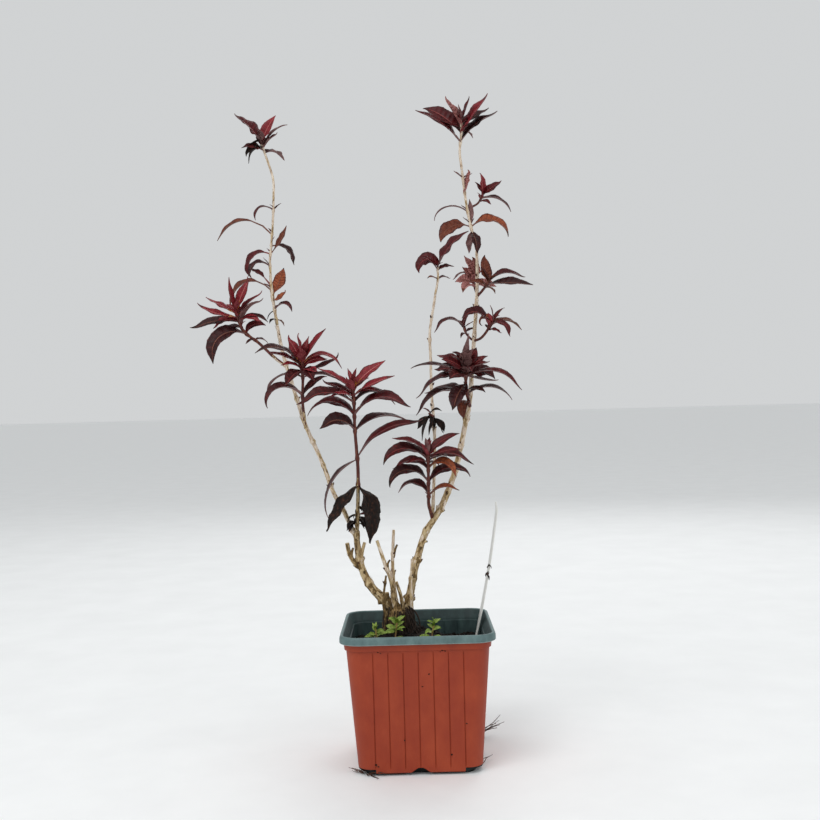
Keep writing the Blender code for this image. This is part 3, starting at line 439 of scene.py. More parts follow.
# Where two or three shades lie unless a finish says it, and what veins and undersides share
USUAL_PLACES = {2: (0.3, 0.7), 3: (0.3, 0.55, 0.75)}
VEIN = (1.5, 1.0, (0.4, 0.55), 0.04, 0.4)
UNDERSIDE = (2.4, 1.0, (0.5, 0.7), 0.12, 0.4)
FINISHES = {
    "bark": Finish(((84, 62, 38), (142, 116, 78), (184, 160, 120), (208, 190, 152)), 1.3, 0.3,
                   (0.6, 0.85), 0.25, 0.5, 0.3, (0.28, 0.4, 0.52, 0.7)),
    "old_bark": Finish(((44, 32, 18), (92, 72, 42), (136, 110, 70), (172, 146, 104)), 1.4, 0.35,
                       (0.7, 0.95), 0.3, 0.6, 0.3, (0.3, 0.44, 0.58, 0.75)),
    "crown_bark": Finish(((20, 15, 10), (44, 32, 20), (80, 60, 36), (124, 98, 62)), 1.6, 0.6,
                         (0.75, 0.95), 0.4, 0.7, 0.25, (0.34, 0.5, 0.62, 0.78)),
    "pale_bark": Finish(((112, 84, 64), (190, 168, 144), (222, 208, 190)), 1.2, 0.3,
                        (0.55, 0.8), 0.15, 0.4, 0.3, (0.3, 0.42, 0.6)),
    "red_twig": Finish(((54, 20, 18), (86, 38, 32), (124, 74, 54)), 1.2, 0.15,
                       (0.45, 0.7), 0.1, 0.4, 0.3, (0.3, 0.5, 0.7)),
    "bud": Finish(((40, 22, 16), (84, 50, 34)), 0.8, 0.5, (0.5, 0.75), 0.1, 0.3, 0.3, (0.3, 0.6)),
    "cut_wood": Finish(((176, 152, 112), (212, 194, 158)), 0.7, 1.0, (0.75, 0.9), 0.08, 0.3, 0.3),
    "flake": Finish(((128, 104, 72), (196, 176, 138)), 1.2, 0.3, (0.7, 0.9), 0.1, 0.4, 0.3),
    "crimson": Finish(((98, 16, 24), (126, 28, 38), (150, 50, 58)), 2.6, 1.0, (0.42, 0.58), 0.08),
    "wine": Finish(((57, 7, 10), (81, 14, 18), (110, 34, 34)), 2.6, 1.0, (0.42, 0.6), 0.1),
    "maroon": Finish(((43, 8, 9), (65, 16, 17), (96, 38, 34))),
    "plum": Finish(((32, 7, 8), (51, 15, 16), (82, 39, 38)), 2.8),
    "bronze": Finish(((76, 32, 20), (104, 50, 32), (128, 72, 48)), 2.6, 1.0, (0.46, 0.64)),
    "rust": Finish(((110, 48, 26), (142, 70, 40), (168, 96, 60)), 2.6, 1.0, (0.46, 0.64), 0.1),
    "black": Finish(((10, 5, 3), (30, 16, 11), (76, 48, 36)), 1.6, 0.6,
                    (0.5, 0.8), 0.3, 0.6, 0.2, (0.35, 0.53, 0.7)),
    "dusty": Finish(((134, 80, 78), (160, 104, 100), (182, 130, 124)), 2.4, 1.0, (0.5, 0.7), 0.1),
    "pink_vein": Finish(((170, 82, 86), (198, 124, 118)), *VEIN),
    "wine_vein": Finish(((120, 44, 46), (146, 70, 66)), *VEIN),
    "brown_vein": Finish(((100, 56, 46), (132, 86, 70)), 1.5, 1.0, (0.45, 0.6), 0.04, 0.4),
    "gold": Finish(((158, 84, 40), (204, 138, 60)), 1.2, 1.0, (0.4, 0.55), 0.04, 0.4),
    "under_rose": Finish(((104, 34, 40), (128, 54, 58), (150, 80, 82)), *UNDERSIDE),
    "under_mauve": Finish(((94, 62, 62), (120, 86, 84), (144, 110, 106)), *UNDERSIDE),
    "under_brown": Finish(((84, 50, 38), (110, 70, 54), (136, 96, 76)), *UNDERSIDE),
    "leaf_green": Finish(((66, 92, 26), (108, 136, 46), (152, 170, 78)), 1.8, 1.0,
                         (0.35, 0.55), 0.05, 0.4, 0.3),
    "green_vein": Finish(((164, 182, 84), (200, 208, 120)), *VEIN, 0.3),
    "green_stem": Finish(((150, 110, 84), (172, 160, 84)), 1.5, 0.4, (0.4, 0.6), 0.04, 0.4, 0.3),
    "clay": Finish(((139, 46, 19), (148, 54, 25), (158, 63, 33)), 14.0, 0.7,
                   (0.45, 0.62), 0.05, 0.5, 0.35, (0.3, 0.5, 0.7)),
    "slate": Finish(((70, 92, 92), (88, 112, 112), (106, 130, 128)), 5.0, 0.6,
                    (0.4, 0.58), 0.05, 0.5, 0.4, (0.25, 0.5, 0.75)),
    # Pale slate: a painted highlight along the lower edge of the rim
    "slate_pale": Finish(((128, 146, 144), (160, 174, 170)), 5.0, 0.6, (0.4, 0.58), 0.05, 0.5, 0.4),
    # Dark slate: the rim's slate with painted shade, for the inside of the pot
    "slate_dark": Finish(((28, 44, 45), (40, 60, 60), (60, 82, 80)), 6.0, 0.4,
                         (0.42, 0.6), 0.05, 0.5, 0.4, (0.25, 0.5, 0.75)),
    # Near-black slate: painted shadow under the foot and in the drain notches and holes
    "slate_deep": Finish(((10, 15, 15), (22, 30, 30)), 6.0, 0.6, (0.5, 0.7), 0.05, 0.5, 0.3),
    "soil": Finish(((12, 10, 9), (28, 23, 19), (52, 42, 33), (84, 70, 56)), 2.4, 1.0,
                   (0.85, 1.0), 0.8, 1.2, 0.2, (0.3, 0.52, 0.7, 0.85)),
    "grit": Finish(((124, 112, 96), (176, 166, 150)), 1.0, 1.0, (0.7, 0.9), 0.2, 0.5, 0.5),
    "root": Finish(((22, 16, 12), (56, 42, 32)), 1.0, 0.5, (0.7, 0.9), 0.1, 0.4, 0.3),
    "label": Finish(((214, 214, 208), (232, 232, 227)), 7.0, 0.6, (0.3, 0.45), 0.03, 0.8, 0.5),
    "floor": Finish(((240, 241, 241), (245, 246, 246)), 60.0, 1.0, (0.7, 0.85), 0.0, 4.0, 0.5),
}

# The looks of leaves: blade, edge, tip, rib, veins, heart at the root, and underside
Look = namedtuple("Look", "blade edge tip rib vein heart under")
LOOKS = {
    "crimson": Look("crimson", "wine", "wine", "pink_vein", "wine_vein", "gold", "under_rose"),
    "ruby": Look("crimson", "crimson", "wine", "pink_vein", "wine_vein", "crimson", "under_rose"),
    "wine": Look("wine", "maroon", "plum", "wine_vein", "wine", "wine", "under_mauve"),
    "maroon": Look("maroon", "plum", "black", "wine_vein", "wine", "maroon", "under_mauve"),
    "plum": Look("plum", "plum", "black", "brown_vein", "maroon", "plum", "under_mauve"),
    "bronze": Look("bronze", "maroon", "black", "brown_vein", "bronze", "bronze", "under_brown"),
    "rust": Look("rust", "bronze", "black", "brown_vein", "bronze", "rust", "under_brown"),
    "dusty": Look("dusty", "dusty", "bronze", "brown_vein", "bronze", "bronze", "dusty"),
    "black": Look(*["black"] * 7),
    "green": Look(*["leaf_green"] * 3, "green_vein", "green_vein", "leaf_green", "leaf_green"),
}

# The materials that are made already, by the name of their finish
made = {}


# Materials

def shade(red, green, blue):
    """A colour given in screen values, 0 to 255, as the linear colour that shaders take."""
    parts = []
    for value in (red, green, blue):
        value = value / 255.0
        parts.append(value / 12.92 if value <= 0.04045 else ((value + 0.055) / 1.055) ** 2.4)
    return (*parts, 1.0)


def add_node(nodes, kind, **values):
    """A shader node with some of its inputs set."""
    node = nodes.new("ShaderNode" + kind)
    for name, value in values.items():
        node.inputs[name.replace("_", " ")].default_value = value
    return node


def ramp(nodes, finish):
    node = add_node(nodes, "ValToRGB")
    points = node.color_ramp.elements
    while len(points) < len(finish.shades):
        points.new(0.5)
    places = finish.places or USUAL_PLACES[len(finish.shades)]
    for point, place, colour in zip(points, places, finish.shades):
        point.position = place
        point.color = shade(*colour)
    return node


def material(name):
    """A finish as a procedural material, made once."""
    if name in made:
        return made[name]
    finish = FINISHES[name]
    item = bpy.data.materials.new(name)
    item.use_nodes = True
    nodes = item.node_tree.nodes
    shader = nodes["Principled BSDF"]
    shader.inputs["Specular IOR Level"].default_value = finish.shine
    place = add_node(nodes, "TexCoord")
    stretch = add_node(nodes, "Mapping", Scale=(1.0, 1.0, finish.stretch))
    coarse = add_node(nodes, "TexNoise", Scale=1.0 / (finish.grain * MM), Detail=5.0, Roughness=0.6)
    shades = ramp(nodes, finish)
    low, high = finish.rough
    gloss = add_node(nodes, "MapRange", From_Min=0.3, From_Max=0.7, To_Min=low, To_Max=high)
    wires = [(place, "Object", stretch, "Vector"), (stretch, "Vector", coarse, "Vector"),
             (coarse, "Fac", shades, "Fac"), (shades, "Color", shader, "Base Color"),
             (coarse, "Fac", gloss, "Value"), (gloss, "Result", shader, "Roughness")]
    if finish.bump:
        fine = add_node(nodes, "TexNoise", Scale=1.0 / (finish.bump_grain * MM), Detail=3.0, Roughness=0.6)
        bump = add_node(nodes, "Bump", Strength=1.0, Distance=finish.bump * MM)
        wires += [(stretch, "Vector", fine, "Vector"), (fine, "Fac", bump, "Height"),
                  (bump, "Normal", shader, "Normal")]
    for source, output, target, entry in wires:
        item.node_tree.links.new(source.outputs[output], target.inputs[entry])
    made[name] = item
    return item


# Pieces

def add_object(name, data):
    item = bpy.data.objects.new(name, data)
    bpy.context.scene.collection.objects.link(item)
    return item


class Batch:
    """The vertices and faces of many small pieces of one kind, in mm, which become one object."""

    def __init__(self):
        self.verts = []
        self.faces = []
        self.finishes = []

    def add(self, verts, faces, finishes):
        """Add faces. finishes is one name, or a name for each face."""
        first = len(self.verts)
        self.verts.extend(verts)
        self.faces.extend(tuple(first + index for index in face) for face in faces)
        self.finishes.extend([finishes] * len(faces) if isinstance(finishes, str) else finishes)

    def add_rings(self, rings, finishes):
        """Add a closed skin through rings of points. The last two faces are its ends."""
        count = len(rings[0])
        verts = [point for ring in rings for point in ring]
        faces = []
        for low in range(0, len(verts) - count, count):
            for i in range(count):
                j = (i + 1) % count
                faces.append((low + i, low + j, low + count + j, low + count + i))
        faces += [tuple(range(count)), tuple(range(len(verts) - count, len(verts)))]
        self.add(verts, faces, finishes)

    def build(self, name, replaced=(), sharp=60.0):
        names = sorted(set(self.finishes))
        mesh = bpy.data.meshes.new(name)
        mesh.from_pydata([vert * MM for vert in self.verts], [], self.faces)
        for finish in names:
            mesh.materials.append(material(finish))
        mesh.polygons.foreach_set("material_index", [names.index(finish) for finish in self.finishes])
        mesh.validate()
        bm = bmesh.new()
        bm.from_mesh(mesh)
        bmesh.ops.recalc_face_normals(bm, faces=bm.faces)
        bm.to_mesh(mesh)
        bm.free()
        mesh.shade_smooth()
        mesh.set_sharp_from_angle(angle=math.radians(sharp))
        item = add_object(name, mesh)
        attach(item, "root")
        if replaced:
            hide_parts(*replaced)
        return item


def ball(subdivisions, radius):
    """The points and faces of a ball."""
    bm = bmesh.new()
    bmesh.ops.create_icosphere(bm, subdivisions=subdivisions, radius=radius)
    points = [vert.co.copy() for vert in bm.verts]
    faces = [tuple(vert.index for vert in face.verts) for face in bm.faces]
    bm.free()
    return points, faces


# Directions and lines

def flat(angle):
    """The direction across Z at an angle."""
    return Vector((math.cos(angle), math.sin(angle), 0.0))


def round_angles(count):
    return [FULL_TURN * i / count for i in range(count)]


def random_vector(rng, *ranges):
    return Vector([rng.uniform(low, high) for low, high in ranges])


def smooth_path(points, spacing):
    """Points about spacing apart on a smooth curve through the given points."""
    knots = [Vector(p) for p in points]
    knots = [knots[0] * 2 - knots[1]] + knots + [knots[-1] * 2 - knots[-2]]
    path = [knots[1].copy()]
    for a, b, c, d in zip(knots, knots[1:], knots[2:], knots[3:]):
        steps = max(1, round((c - b).length / spacing))
        for i in range(1, steps + 1):
            t = i / steps
            path.append(0.5 * (2 * b + (c - a) * t + (2 * a - 5 * b + 4 * c - d) * t ** 2
                               + (3 * b - a - 3 * c + d) * t ** 3))
    return path


def distances(path):
    """How far each point of a path lies from its start, along it."""
    result = [0.0]
    for a, b in zip(path, path[1:]):
        result.append(result[-1] + (b - a).length)
    return result


def point_on(path, share):
    """The point of a path at a share of its length."""
    along = distances(path)
    goal = share * along[-1]
    for i in range(len(path) - 1):
        if goal <= along[i + 1]:
            return path[i].lerp(path[i + 1], (goal - along[i]) / (along[i + 1] - along[i]))
    return path[-1]


def frames_along(path):
    """The direction of a path and two directions across it, at each point, without twist."""
    frames = []
    across = Vector((0.0, -1.0, 0.0))
    for i in range(len(path)):
        along = (path[min(i + 1, len(path) - 1)] - path[max(i - 1, 0)]).normalized()
        across = (across - along * across.dot(along)).normalized()
        frames.append((along, across, along.cross(across)))
    return frames


def taper(foot, tip):
    """A radius that changes evenly from foot to tip."""
    return lambda share, distance: foot + (tip - foot) * share


def tube(batch, path, radius_at, sides, finish, relief, cap=None):
    """A closed tube along a path. relief gives a change of the radius as a share of it.

    finish is one name, or gives a name for a point on the path and an angle round it.
    """
    along = distances(path)
    angles = round_angles(sides)
    rings = []
    for point, (_, across, over), distance in zip(path, frames_along(path), along):
        radius = radius_at(distance / along[-1], distance)
        rings.append([point + (across * math.cos(angle) + over * math.sin(angle)) * radius
                      * (1.0 + relief(angle, distance)) for angle in angles])
    finishes = [finish(point, angle) if callable(finish) else finish
                for point in path[:-1] for angle in angles]
    batch.add_rings(rings, finishes + [finishes[0], cap or finishes[-1]])


# Bark

def ripple(around, size, seed, shift, rise):
    """Noise round a limb, which changes along it with rise."""
    return noise.noise(around * size + Vector((seed, shift, rise)))


def patchy_bark(seed, paleness):
    """Bark in patches: dark and old low down, pale and young higher up."""
    def finish_at(point, angle):
        around = flat(angle) * 0.9
        patch = ripple(around, 1.0, seed, 0.0, point.z * 0.16)
        patch += 0.5 * ripple(around, 2.5, seed, 7.0, point.z * 0.5)
        age = 1.1 * patch + paleness + (point.z - 150.0) / 150.0
        if age < OLD_BELOW:
            return "old_bark"
        return "bark" if age < PALE_FROM else "pale_bark"
    return finish_at


def half_barked(seed, height):
    """Old bark on the foot of a twig, up to an uneven line at a height, and red above it."""
    bark = patchy_bark(seed, FOOT_PALENESS)

    def finish_at(point, angle):
        line = height + 14.0 * noise.noise(point * 0.15 + Vector((angle, 0.0, 0.0)))
        return bark(point, angle) if point.z < line else "red_twig"
    return finish_at


def bark_relief(seed, depth, nodes=()):
    """Relief of bark: long ridges, lumps, and a swelling at each node."""
    def relief(angle, distance):
        around = flat(angle)
        lumps = ripple(around, 1.3, seed, 0.0, distance * 0.22)
        ridges = ripple(around, 3.6, seed, 5.0, distance * 0.09)
        flakes = max(0.0, ripple(around, 2.2, seed, 9.0, distance * 0.35) - 0.12)
        change = depth * (0.9 * lumps + 0.8 * ridges + 1.2 * flakes)
        for place, turn, swell in nodes:
            reach = abs(distance - place)
            if reach < 4.0:
                facing = abs(math.cos(angle - turn)) ** 3
                change += swell * math.exp(-(reach / 1.3) ** 2) * (0.35 + facing)
        return change
    return relief


def bud(batch, root, direction, length):
    """A small pointed bud."""
    side = direction.cross(UP if abs(direction.z) < 0.9 else Vector((1.0, 0.0, 0.0))).normalized()
    over = direction.cross(side)
    rings = [[root + direction * length * share
              + (side * math.cos(angle) + over * math.sin(angle)) * length * 0.3 * breadth
              for angle in round_angles(BUD_SIDES)] for share, breadth in BUD_SHAPE]
    batch.add_rings(rings, "bud")


# Leaves

def blade_share(share):
    """The width of the blade at a share of its length, as a share of its full width."""
    for (a, low), (b, high) in zip(BLADE, BLADE[1:]):
        if share <= b:
            return low + (high - low) * (share - a) / (b - a)
    return BLADE[-1][1]


def turn_to_light(across, up, share, broad):
    """The roll, in degrees, that brings a leaf's face round to the light. Broad leaves turn further."""
    wanted = math.degrees(math.atan2(-across.dot(LIGHT), up.dot(LIGHT)))
    wanted = max(-TURN_LIMIT, min(TURN_LIMIT, wanted))
    return wanted * min(1.0, TURN_TO_LIGHT * broad) * abs(across.dot(LIGHT)) * min(1.0, 3.0 * share)


def leaf_spine(root, leaf, heading, twist, hook):
    """Points down the middle of a leaf with the directions across it and out of its face."""
    outward = flat(math.radians(heading))
    across = UP.cross(outward)
    place = root - outward * ROOT_SINK
    spine = []
    for step in range(SPINE_STEPS + 1):
        share = step / SPINE_STEPS
        curl = hook * max(0.0, (share - HOOK_FROM) / (1.0 - HOOK_FROM)) ** 1.5
        slope = math.radians(leaf.rise + (leaf.fall - leaf.rise) * share ** LEAF_BEND + curl)
        along = outward * math.cos(slope) + UP * math.sin(slope)
        if step:
            place = place + along * (leaf.length / SPINE_STEPS)
        up = along.cross(across)
        roll = math.radians(twist * share + turn_to_light(across, up, share, leaf.broad))
        spine.append((place, across * math.cos(roll) + up * math.sin(roll),
                      up * math.cos(roll) - across * math.sin(roll)))
    return spine


def spine_at(spine, share):
    goal = min(max(share, 0.0), 1.0) * SPINE_STEPS
    low = min(int(goal), SPINE_STEPS - 1)
    return [a.lerp(b, goal - low) for a, b in zip(spine[low], spine[low + 1])]


def vein_rows():
    """Rows of a blade: share of its length, and whether a side vein starts there."""
    gap = 0.86 / VEINS
    rows = [(0.0, False)]
    for vein in range(VEINS):
        place = 0.05 + gap * vein
        rows += [(place, True), (place + 2 * VEIN_STRIP, False), (place + 0.55 * gap, False)]
    return rows + [(0.93, False), (0.965, False), (1.0, False)]


ROWS = vein_rows()
STALK_ROWS = (0.0, 0.5)


def leaf_finishes(look, stalk_rows, tip_from):
    """The finishes of a leaf's faces, in the order of its rings, and of its two ends."""
    middles = [abs(a + b) / 2 for a, b in zip(COLUMNS, COLUMNS[1:])]
    under_faces = len(COLUMNS) - 1
    finishes = [look.rib] * (len(middles) + under_faces) * len(stalk_rows)
    for share, vein in ROWS[:-1]:
        gold = look.heart == "gold"
        for middle in middles:
            if middle < RIB:
                finish = look.heart if gold and share < GOLD_ON_RIB else look.rib
            elif share >= tip_from:
                finish = look.tip
            elif share < GOLD_ON_BLADE and gold:
                finish = look.heart
            elif vein:
                finish = look.vein
            else:
                finish = look.edge if middle > EDGE else look.blade
            finishes.append(finish)
        finishes += [look.under] * under_faces
    return finishes + [look.rib, look.tip]


def grow_leaf(batch, root, leaf, heading, twist, look, rng):
    """One leaf: a closed folded skin with teeth, a rib and side veins."""
    look = LOOKS[look]
    dry = look.blade == "black"
    spine = leaf_spine(root, leaf, heading, twist, rng.uniform(*HOOK))
    stalk = leaf.stalk / leaf.length
    blade_length = leaf.length - leaf.stalk
    half = LEAF_WIDTH * blade_length * leaf.broad / 2
    fold_at_rib = rng.uniform(*FOLD_AT_RIB)
    fold_at_edge = rng.uniform(*FOLD_AT_EDGE)
    waves = rng.uniform(*WAVES)
    wave_phase = (rng.uniform(0.0, 6.28), rng.uniform(0.0, 6.28))
    wave_size = rng.uniform(*WAVE_SIZE)
    crumple = CRUMPLE * blade_length ** 0.8 if dry else 0.0
    seed = rng.uniform(0.0, 90.0)
    skin = LEAF_SKIN * min(1.0, 0.45 + blade_length / 40.0)
    tip_from = DRY_TIP_FROM if dry else rng.uniform(*TIP_FROM)

    def skin_points(u, at, reach, thick, tooth, wave):
        """The upper and the lower point of a leaf at a column, where it reaches so far to a side."""
        side_share = abs(u)
        place, side, top = spine_at(spine, at)
        fold = math.radians(fold_at_rib + (fold_at_edge - fold_at_rib) * side_share / 2)
        out = reach * (side_share + tooth)
        point = place + side * math.copysign(out * math.cos(fold), u) + top * (out * math.sin(fold) + wave)
        if crumple:
            wander = noise.noise_vector(point * 0.22 + Vector((seed, 0.0, 0.0)))
            point = point + wander * crumple * side_share
        return point, point - top * thick

    pairs = []
    stalk_rows = STALK_ROWS if stalk else ()
    for share in stalk_rows:
        pairs.append([skin_points(u, stalk * share, STALK_WIDTH / 2, 0.8 * STALK_WIDTH, 0.0, 0.0)
                      for u in COLUMNS])
    for share, vein in ROWS:
        row = []
        for u in COLUMNS:
            side_share = abs(u)
            down = share + VEIN_SLANT * side_share * math.sqrt(share) * (1.0 - share)
            reach = half * blade_share(down)
            thick = skin + (0.55 if side_share <= RIB else 0.0) * skin * (1.6 - down)
            toothed = side_share == 1.0 and 0.08 < share < 0.93
            tooth = (TOOTH if vein else -TOOTH / 2) if toothed else 0.0
            puff = PUFF * reach * (1.0 - (2 * side_share - 1.0) ** 2)
            wave = reach * wave_size * u * u * math.sin(waves * 6.28 * down + wave_phase[u > 0])
            row.append(skin_points(u, stalk + (1.0 - stalk) * down, reach, thick, tooth,
                                   wave + (-0.7 * puff if vein else puff)))
        pairs.append(row)
    rings = [[top for top, _ in row] + [under for _, under in row[-2:0:-1]] for row in pairs]
    batch.add_rings(rings, leaf_finishes(look, stalk_rows, tip_from))


def look_of(spray, place, rng):
    """The look of a leaf: by its place on a growing spray, or mixed on an ageing one."""
    if spray.age in (DEAD, GREEN):
        return "black" if spray.age == DEAD else "green"
    if spray.age == AGEING:
        return rng.choice(("wine", "maroon") if place >= 0.95 else ("maroon", "plum", "bronze"))
    bright = spray.name in BRIGHT_SPRAYS
    if place >= 0.96:
        return "crimson" if bright else "wine"
    if place >= 0.9:
        return rng.choice(("crimson", "ruby", "wine") if bright else ("wine", "maroon"))
    return rng.choice(("wine", "maroon", "plum") if place >= 0.76 else ("maroon", "plum", "wine"))


def grow_heart(batch, spray, path, rng):
    """The young leaves round the tip of a twig: low and long outside, steep and short inside."""
    count, longest, broad, inner_look, outer_look = HEARTS[spray.name]
    depth = HEART_DEPTH / distances(path)[-1]
    first = rng.uniform(0.0, 360.0)
    for number in range(count):
        inner = number / (count - 1)
        length = longest * (1.0 - 0.4 * inner) * rng.uniform(0.85, 1.05)
        rise = 26 + 48 * inner + rng.uniform(-8, 8)
        fall = -50 + 95 * inner + rng.uniform(-16, 16)
        leaf = Leaf(length, rise, fall, broad * rng.uniform(0.9, 1.1))
        heading = first + HEART_TURN * number + rng.uniform(-14, 14)
        twist = rng.uniform(-LEAF_TWIST, LEAF_TWIST)
        root = point_on(path, 1.0 - depth * (1.0 - inner))
        grow_leaf(batch, root, leaf, heading, twist, inner_look if inner > 0.45 else outer_look, rng)


def leaves_of(batch, spray, path):
    """The leaves of a spray, by the source's rule, with its heart and the small leaves in the axils."""
    rng = random.Random(spray.name)
    fine = random.Random(spray.name + " fine")
    if spray.name in HEARTS:
        grow_heart(batch, spray, path, fine)
    for row in spray.pairs:
        pair = Pair(*row)
        node = point_on(path, pair.place)
        for sizes, base, look in ((pair.left, 180.0, pair.left_look), (pair.right, 0.0, pair.right_look)):
            twist = rng.uniform(-LEAF_TWIST, LEAF_TWIST)
            root = node + UP * rng.uniform(*ROOT_SHIFT)
            if not sizes:
                continue
            leaf = Leaf(*sizes)
            heading = base + pair.turn
            grow_leaf(batch, root, leaf, heading, twist, look or look_of(spray, pair.place, fine), fine)
            if spray.age != GREEN and leaf.length > AXIL_LEAF_FROM and fine.random() < AXIL_LEAF_CHANCE:
                small = Leaf(fine.uniform(3.5, 7.5), fine.uniform(45, 80), fine.uniform(5, 50), 0.9)
                young = "crimson" if spray.age == GROWING else "wine"
                grow_leaf(batch, root + UP * 0.5, small, heading + fine.uniform(-25, 25), 0.0, young, fine)


# Stems and twigs

def limb_nodes(length, seed):
    """Places of the nodes along a limb: distance, turn, and swelling."""
    rng = random.Random(seed)
    nodes = []
    place = rng.uniform(6.0, 12.0)
    turn = rng.uniform(0.0, math.pi)
    while place < length - 4.0:
        nodes.append((place, turn, rng.uniform(0.3, 0.55)))
        place += rng.uniform(11.0, 19.0)
        turn += math.pi / 2
    return nodes


def limb_radius(limb):
    """The radius along a limb. Thick limbs flare at the foot."""
    even = taper(limb.foot, limb.tip)

    def radius_at(share, distance):
        flare = FLARE * math.exp(-distance / FLARE_REACH) if limb.foot > THICK_FOOT else 0.0
        return even(share, distance) * (1.0 + flare)
    return radius_at


def grow_limbs():
    stems = Batch()
    buds = Batch()
    for number, limb in enumerate(LIMBS):
        path = smooth_path(limb.points, LIMB_SPACING)
        length = distances(path)[-1]
        nodes = limb_nodes(length, limb.name)
        radius_at = limb_radius(limb)
        tube(stems, path, radius_at, LIMB_SIDES, patchy_bark(number * 5.1, PALENESS.get(limb.name, 0.0)),
             bark_relief(number * 7.3, LIMB_RELIEF, nodes), "cut_wood" if "stub" in limb.name else None)
        frames = frames_along(path)
        rng = random.Random(limb.name + " buds")
        for place, turn, _ in nodes:
            index = min(len(path) - 1, round(place / length * (len(path) - 1)))
            along, across, over = frames[index]
            radius = radius_at(place / length, place)
            for angle in (turn, turn + math.pi):
                if rng.random() < BARE_NODES:
                    continue
                out = across * math.cos(angle) + over * math.sin(angle)
                size = rng.uniform(1.3, 2.2)
                bud(buds, path[index] + out * radius * 1.1, (out * 0.8 + along).normalized(), size)
        flakes_on(stems, path, frames, radius_at, length, rng)
    spurs_on(stems)
    crown_on(stems)
    fibres_on(stems)
    stems.build("bark_stems", [limb.name for limb in LIMBS] + ["root_crown"])
    buds.build("stem_buds")


def flakes_on(batch, path, frames, radius_at, length, rng):
    """Thin strips of bark that peel away, and dark specks."""
    last = len(path) - 1
    for _ in range(int(length / FLAKE_SPACING)):
        share = rng.random()
        index = int(share * last)
        along, across, over = frames[index]
        turn = rng.uniform(0.0, 6.28)
        out = across * math.cos(turn) + over * math.sin(turn)
        side = along.cross(out)
        radius = radius_at(index / last, share * length)
        root = path[index] + out * radius * 1.04
        if rng.random() < FLAKE_CHANCE and radius > FLAKE_FROM_RADIUS:
            long = rng.uniform(2.0, 5.0)
            wide = rng.uniform(0.3, 0.7)
            lift = rng.uniform(0.2, 0.8)
            rings = []
            for part in (0.0, 1 / 3, 2 / 3, 1.0):
                centre = root + along * long * (part - 0.3) + out * lift * part * part
                rings.append([centre + side * wide * edge * (1.0 - 0.5 * part) + out * skin
                              for edge, skin in ((-0.5, 0.0), (0.5, 0.0), (0.5, 0.12), (-0.5, 0.12))])
            batch.add_rings(rings, "flake")
        else:
            bud(batch, root - out * 0.25, out, rng.uniform(0.35, 0.6))


def spurs_on(batch):
    for number, (foot, top, radius, side, end) in enumerate(SPURS):
        path = smooth_path((foot, Vector(foot).lerp(Vector(top), 0.5) + UP, top), 0.7)
        relief = bark_relief(number * 3.7 + 80.0, 0.16)
        tube(batch, path, taper(1.15 * radius, 0.8 * radius), SPUR_SIDES, side, relief, end)


def crown_on(batch):
    """The knobbly woody foot under the stems, running down into the soil."""
    verts = []
    points, faces = ball(5, 1.0)
    for co in points:
        lump = 1.0 + 0.16 * noise.noise(co * 2.3) + 0.09 * noise.noise(co * 6.0)
        lump += 0.05 * noise.noise(co * 14.0)
        spread = lump * (1.0 + 0.25 * max(0.0, -co.z))
        point = Vector((co.x * CROWN_SIZE[0] * spread, co.y * CROWN_SIZE[1] * spread,
                        co.z * CROWN_SIZE[2] * lump))
        point += Vector((*CROWN_CENTRE, CROWN_TOP - CROWN_SIZE[2] - 1.0))
        point.z = max(point.z, SOIL_TOP + 1.0)
        verts.append(point)
    finishes = []
    for face in faces:
        point = sum((verts[index] for index in face), Vector()) / 3.0
        age = point.z - CROWN_WOOD_FROM - 0.5 * (point.x - CROWN_CENTRE[0]) + 9.0 * noise.noise(point * 0.25)
        finishes.append("old_bark" if age > WOOD_AGE else "crown_bark" if age > BARK_AGE else "root")
    batch.add(verts, faces, finishes)


def fibres_on(batch):
    """Dark fibrous roots that hang from the crown into the soil, most of them on its right."""
    rng = random.Random(17)
    for _ in range(FIBRES):
        turn = rng.gauss(-0.6, 0.9)
        out = flat(turn)
        point = Vector((*CROWN_CENTRE, rng.uniform(84.0, 93.0))) + out * rng.uniform(6.5, 9.5)
        points = [point]
        while point.z > SOIL_TOP + 4.0 and len(points) < 7:
            point = point + out * rng.uniform(0.2, 1.9)
            point = point + random_vector(rng, (-1.2, 1.2), (-1.2, 1.2), (-2.0, -4.5))
            points.append(point)
        size = rng.uniform(0.2, 0.6)
        relief = bark_relief(turn, 0.2)
        tube(batch, smooth_path(points, LIMB_SPACING), taper(size, 0.5 * size), FIBRE_SIDES, "root", relief)


def twig_finish(spray, number):
    if spray.age == GREEN:
        return "green_stem"
    if spray.name in BARKED:
        return patchy_bark(number * 2.7, TWIG_PALENESS)
    if spray.name in HALF_BARKED:
        return half_barked(number * 2.7, HALF_BARKED[spray.name])
    return "red_twig"


def grow_sprays():
    for group, starts in (("left", "left"), ("middle", ("middle", "slender")), ("right", "right"),
                          ("seedling", "seedling")):
        leaves = Batch()
        twigs = Batch()
        members = [spray for spray in SPRAYS if spray.name.startswith(starts)]
        for number, spray in enumerate(members):
            path = smooth_path(spray.points, TWIG_SPACING)
            length = distances(path)[-1]
            nodes = [(row[0] * length, math.radians(row[1]) + math.pi / 2, 0.35) for row in spray.pairs]
            tube(twigs, path, taper(spray.foot, spray.tip), TWIG_SIDES, twig_finish(spray, number),
                 bark_relief(number * 3.1 + 40.0, TWIG_RELIEF, nodes))
            leaves_of(leaves, spray, path)
        leaves.build(group + "_leaves", [spray.name for spray in members])
        twigs.build(group + "_twigs")


# Pot

QUARTER_TURNS = [Matrix.Rotation(math.radians(90.0 * side), 3, "Z") for side in range(4)]


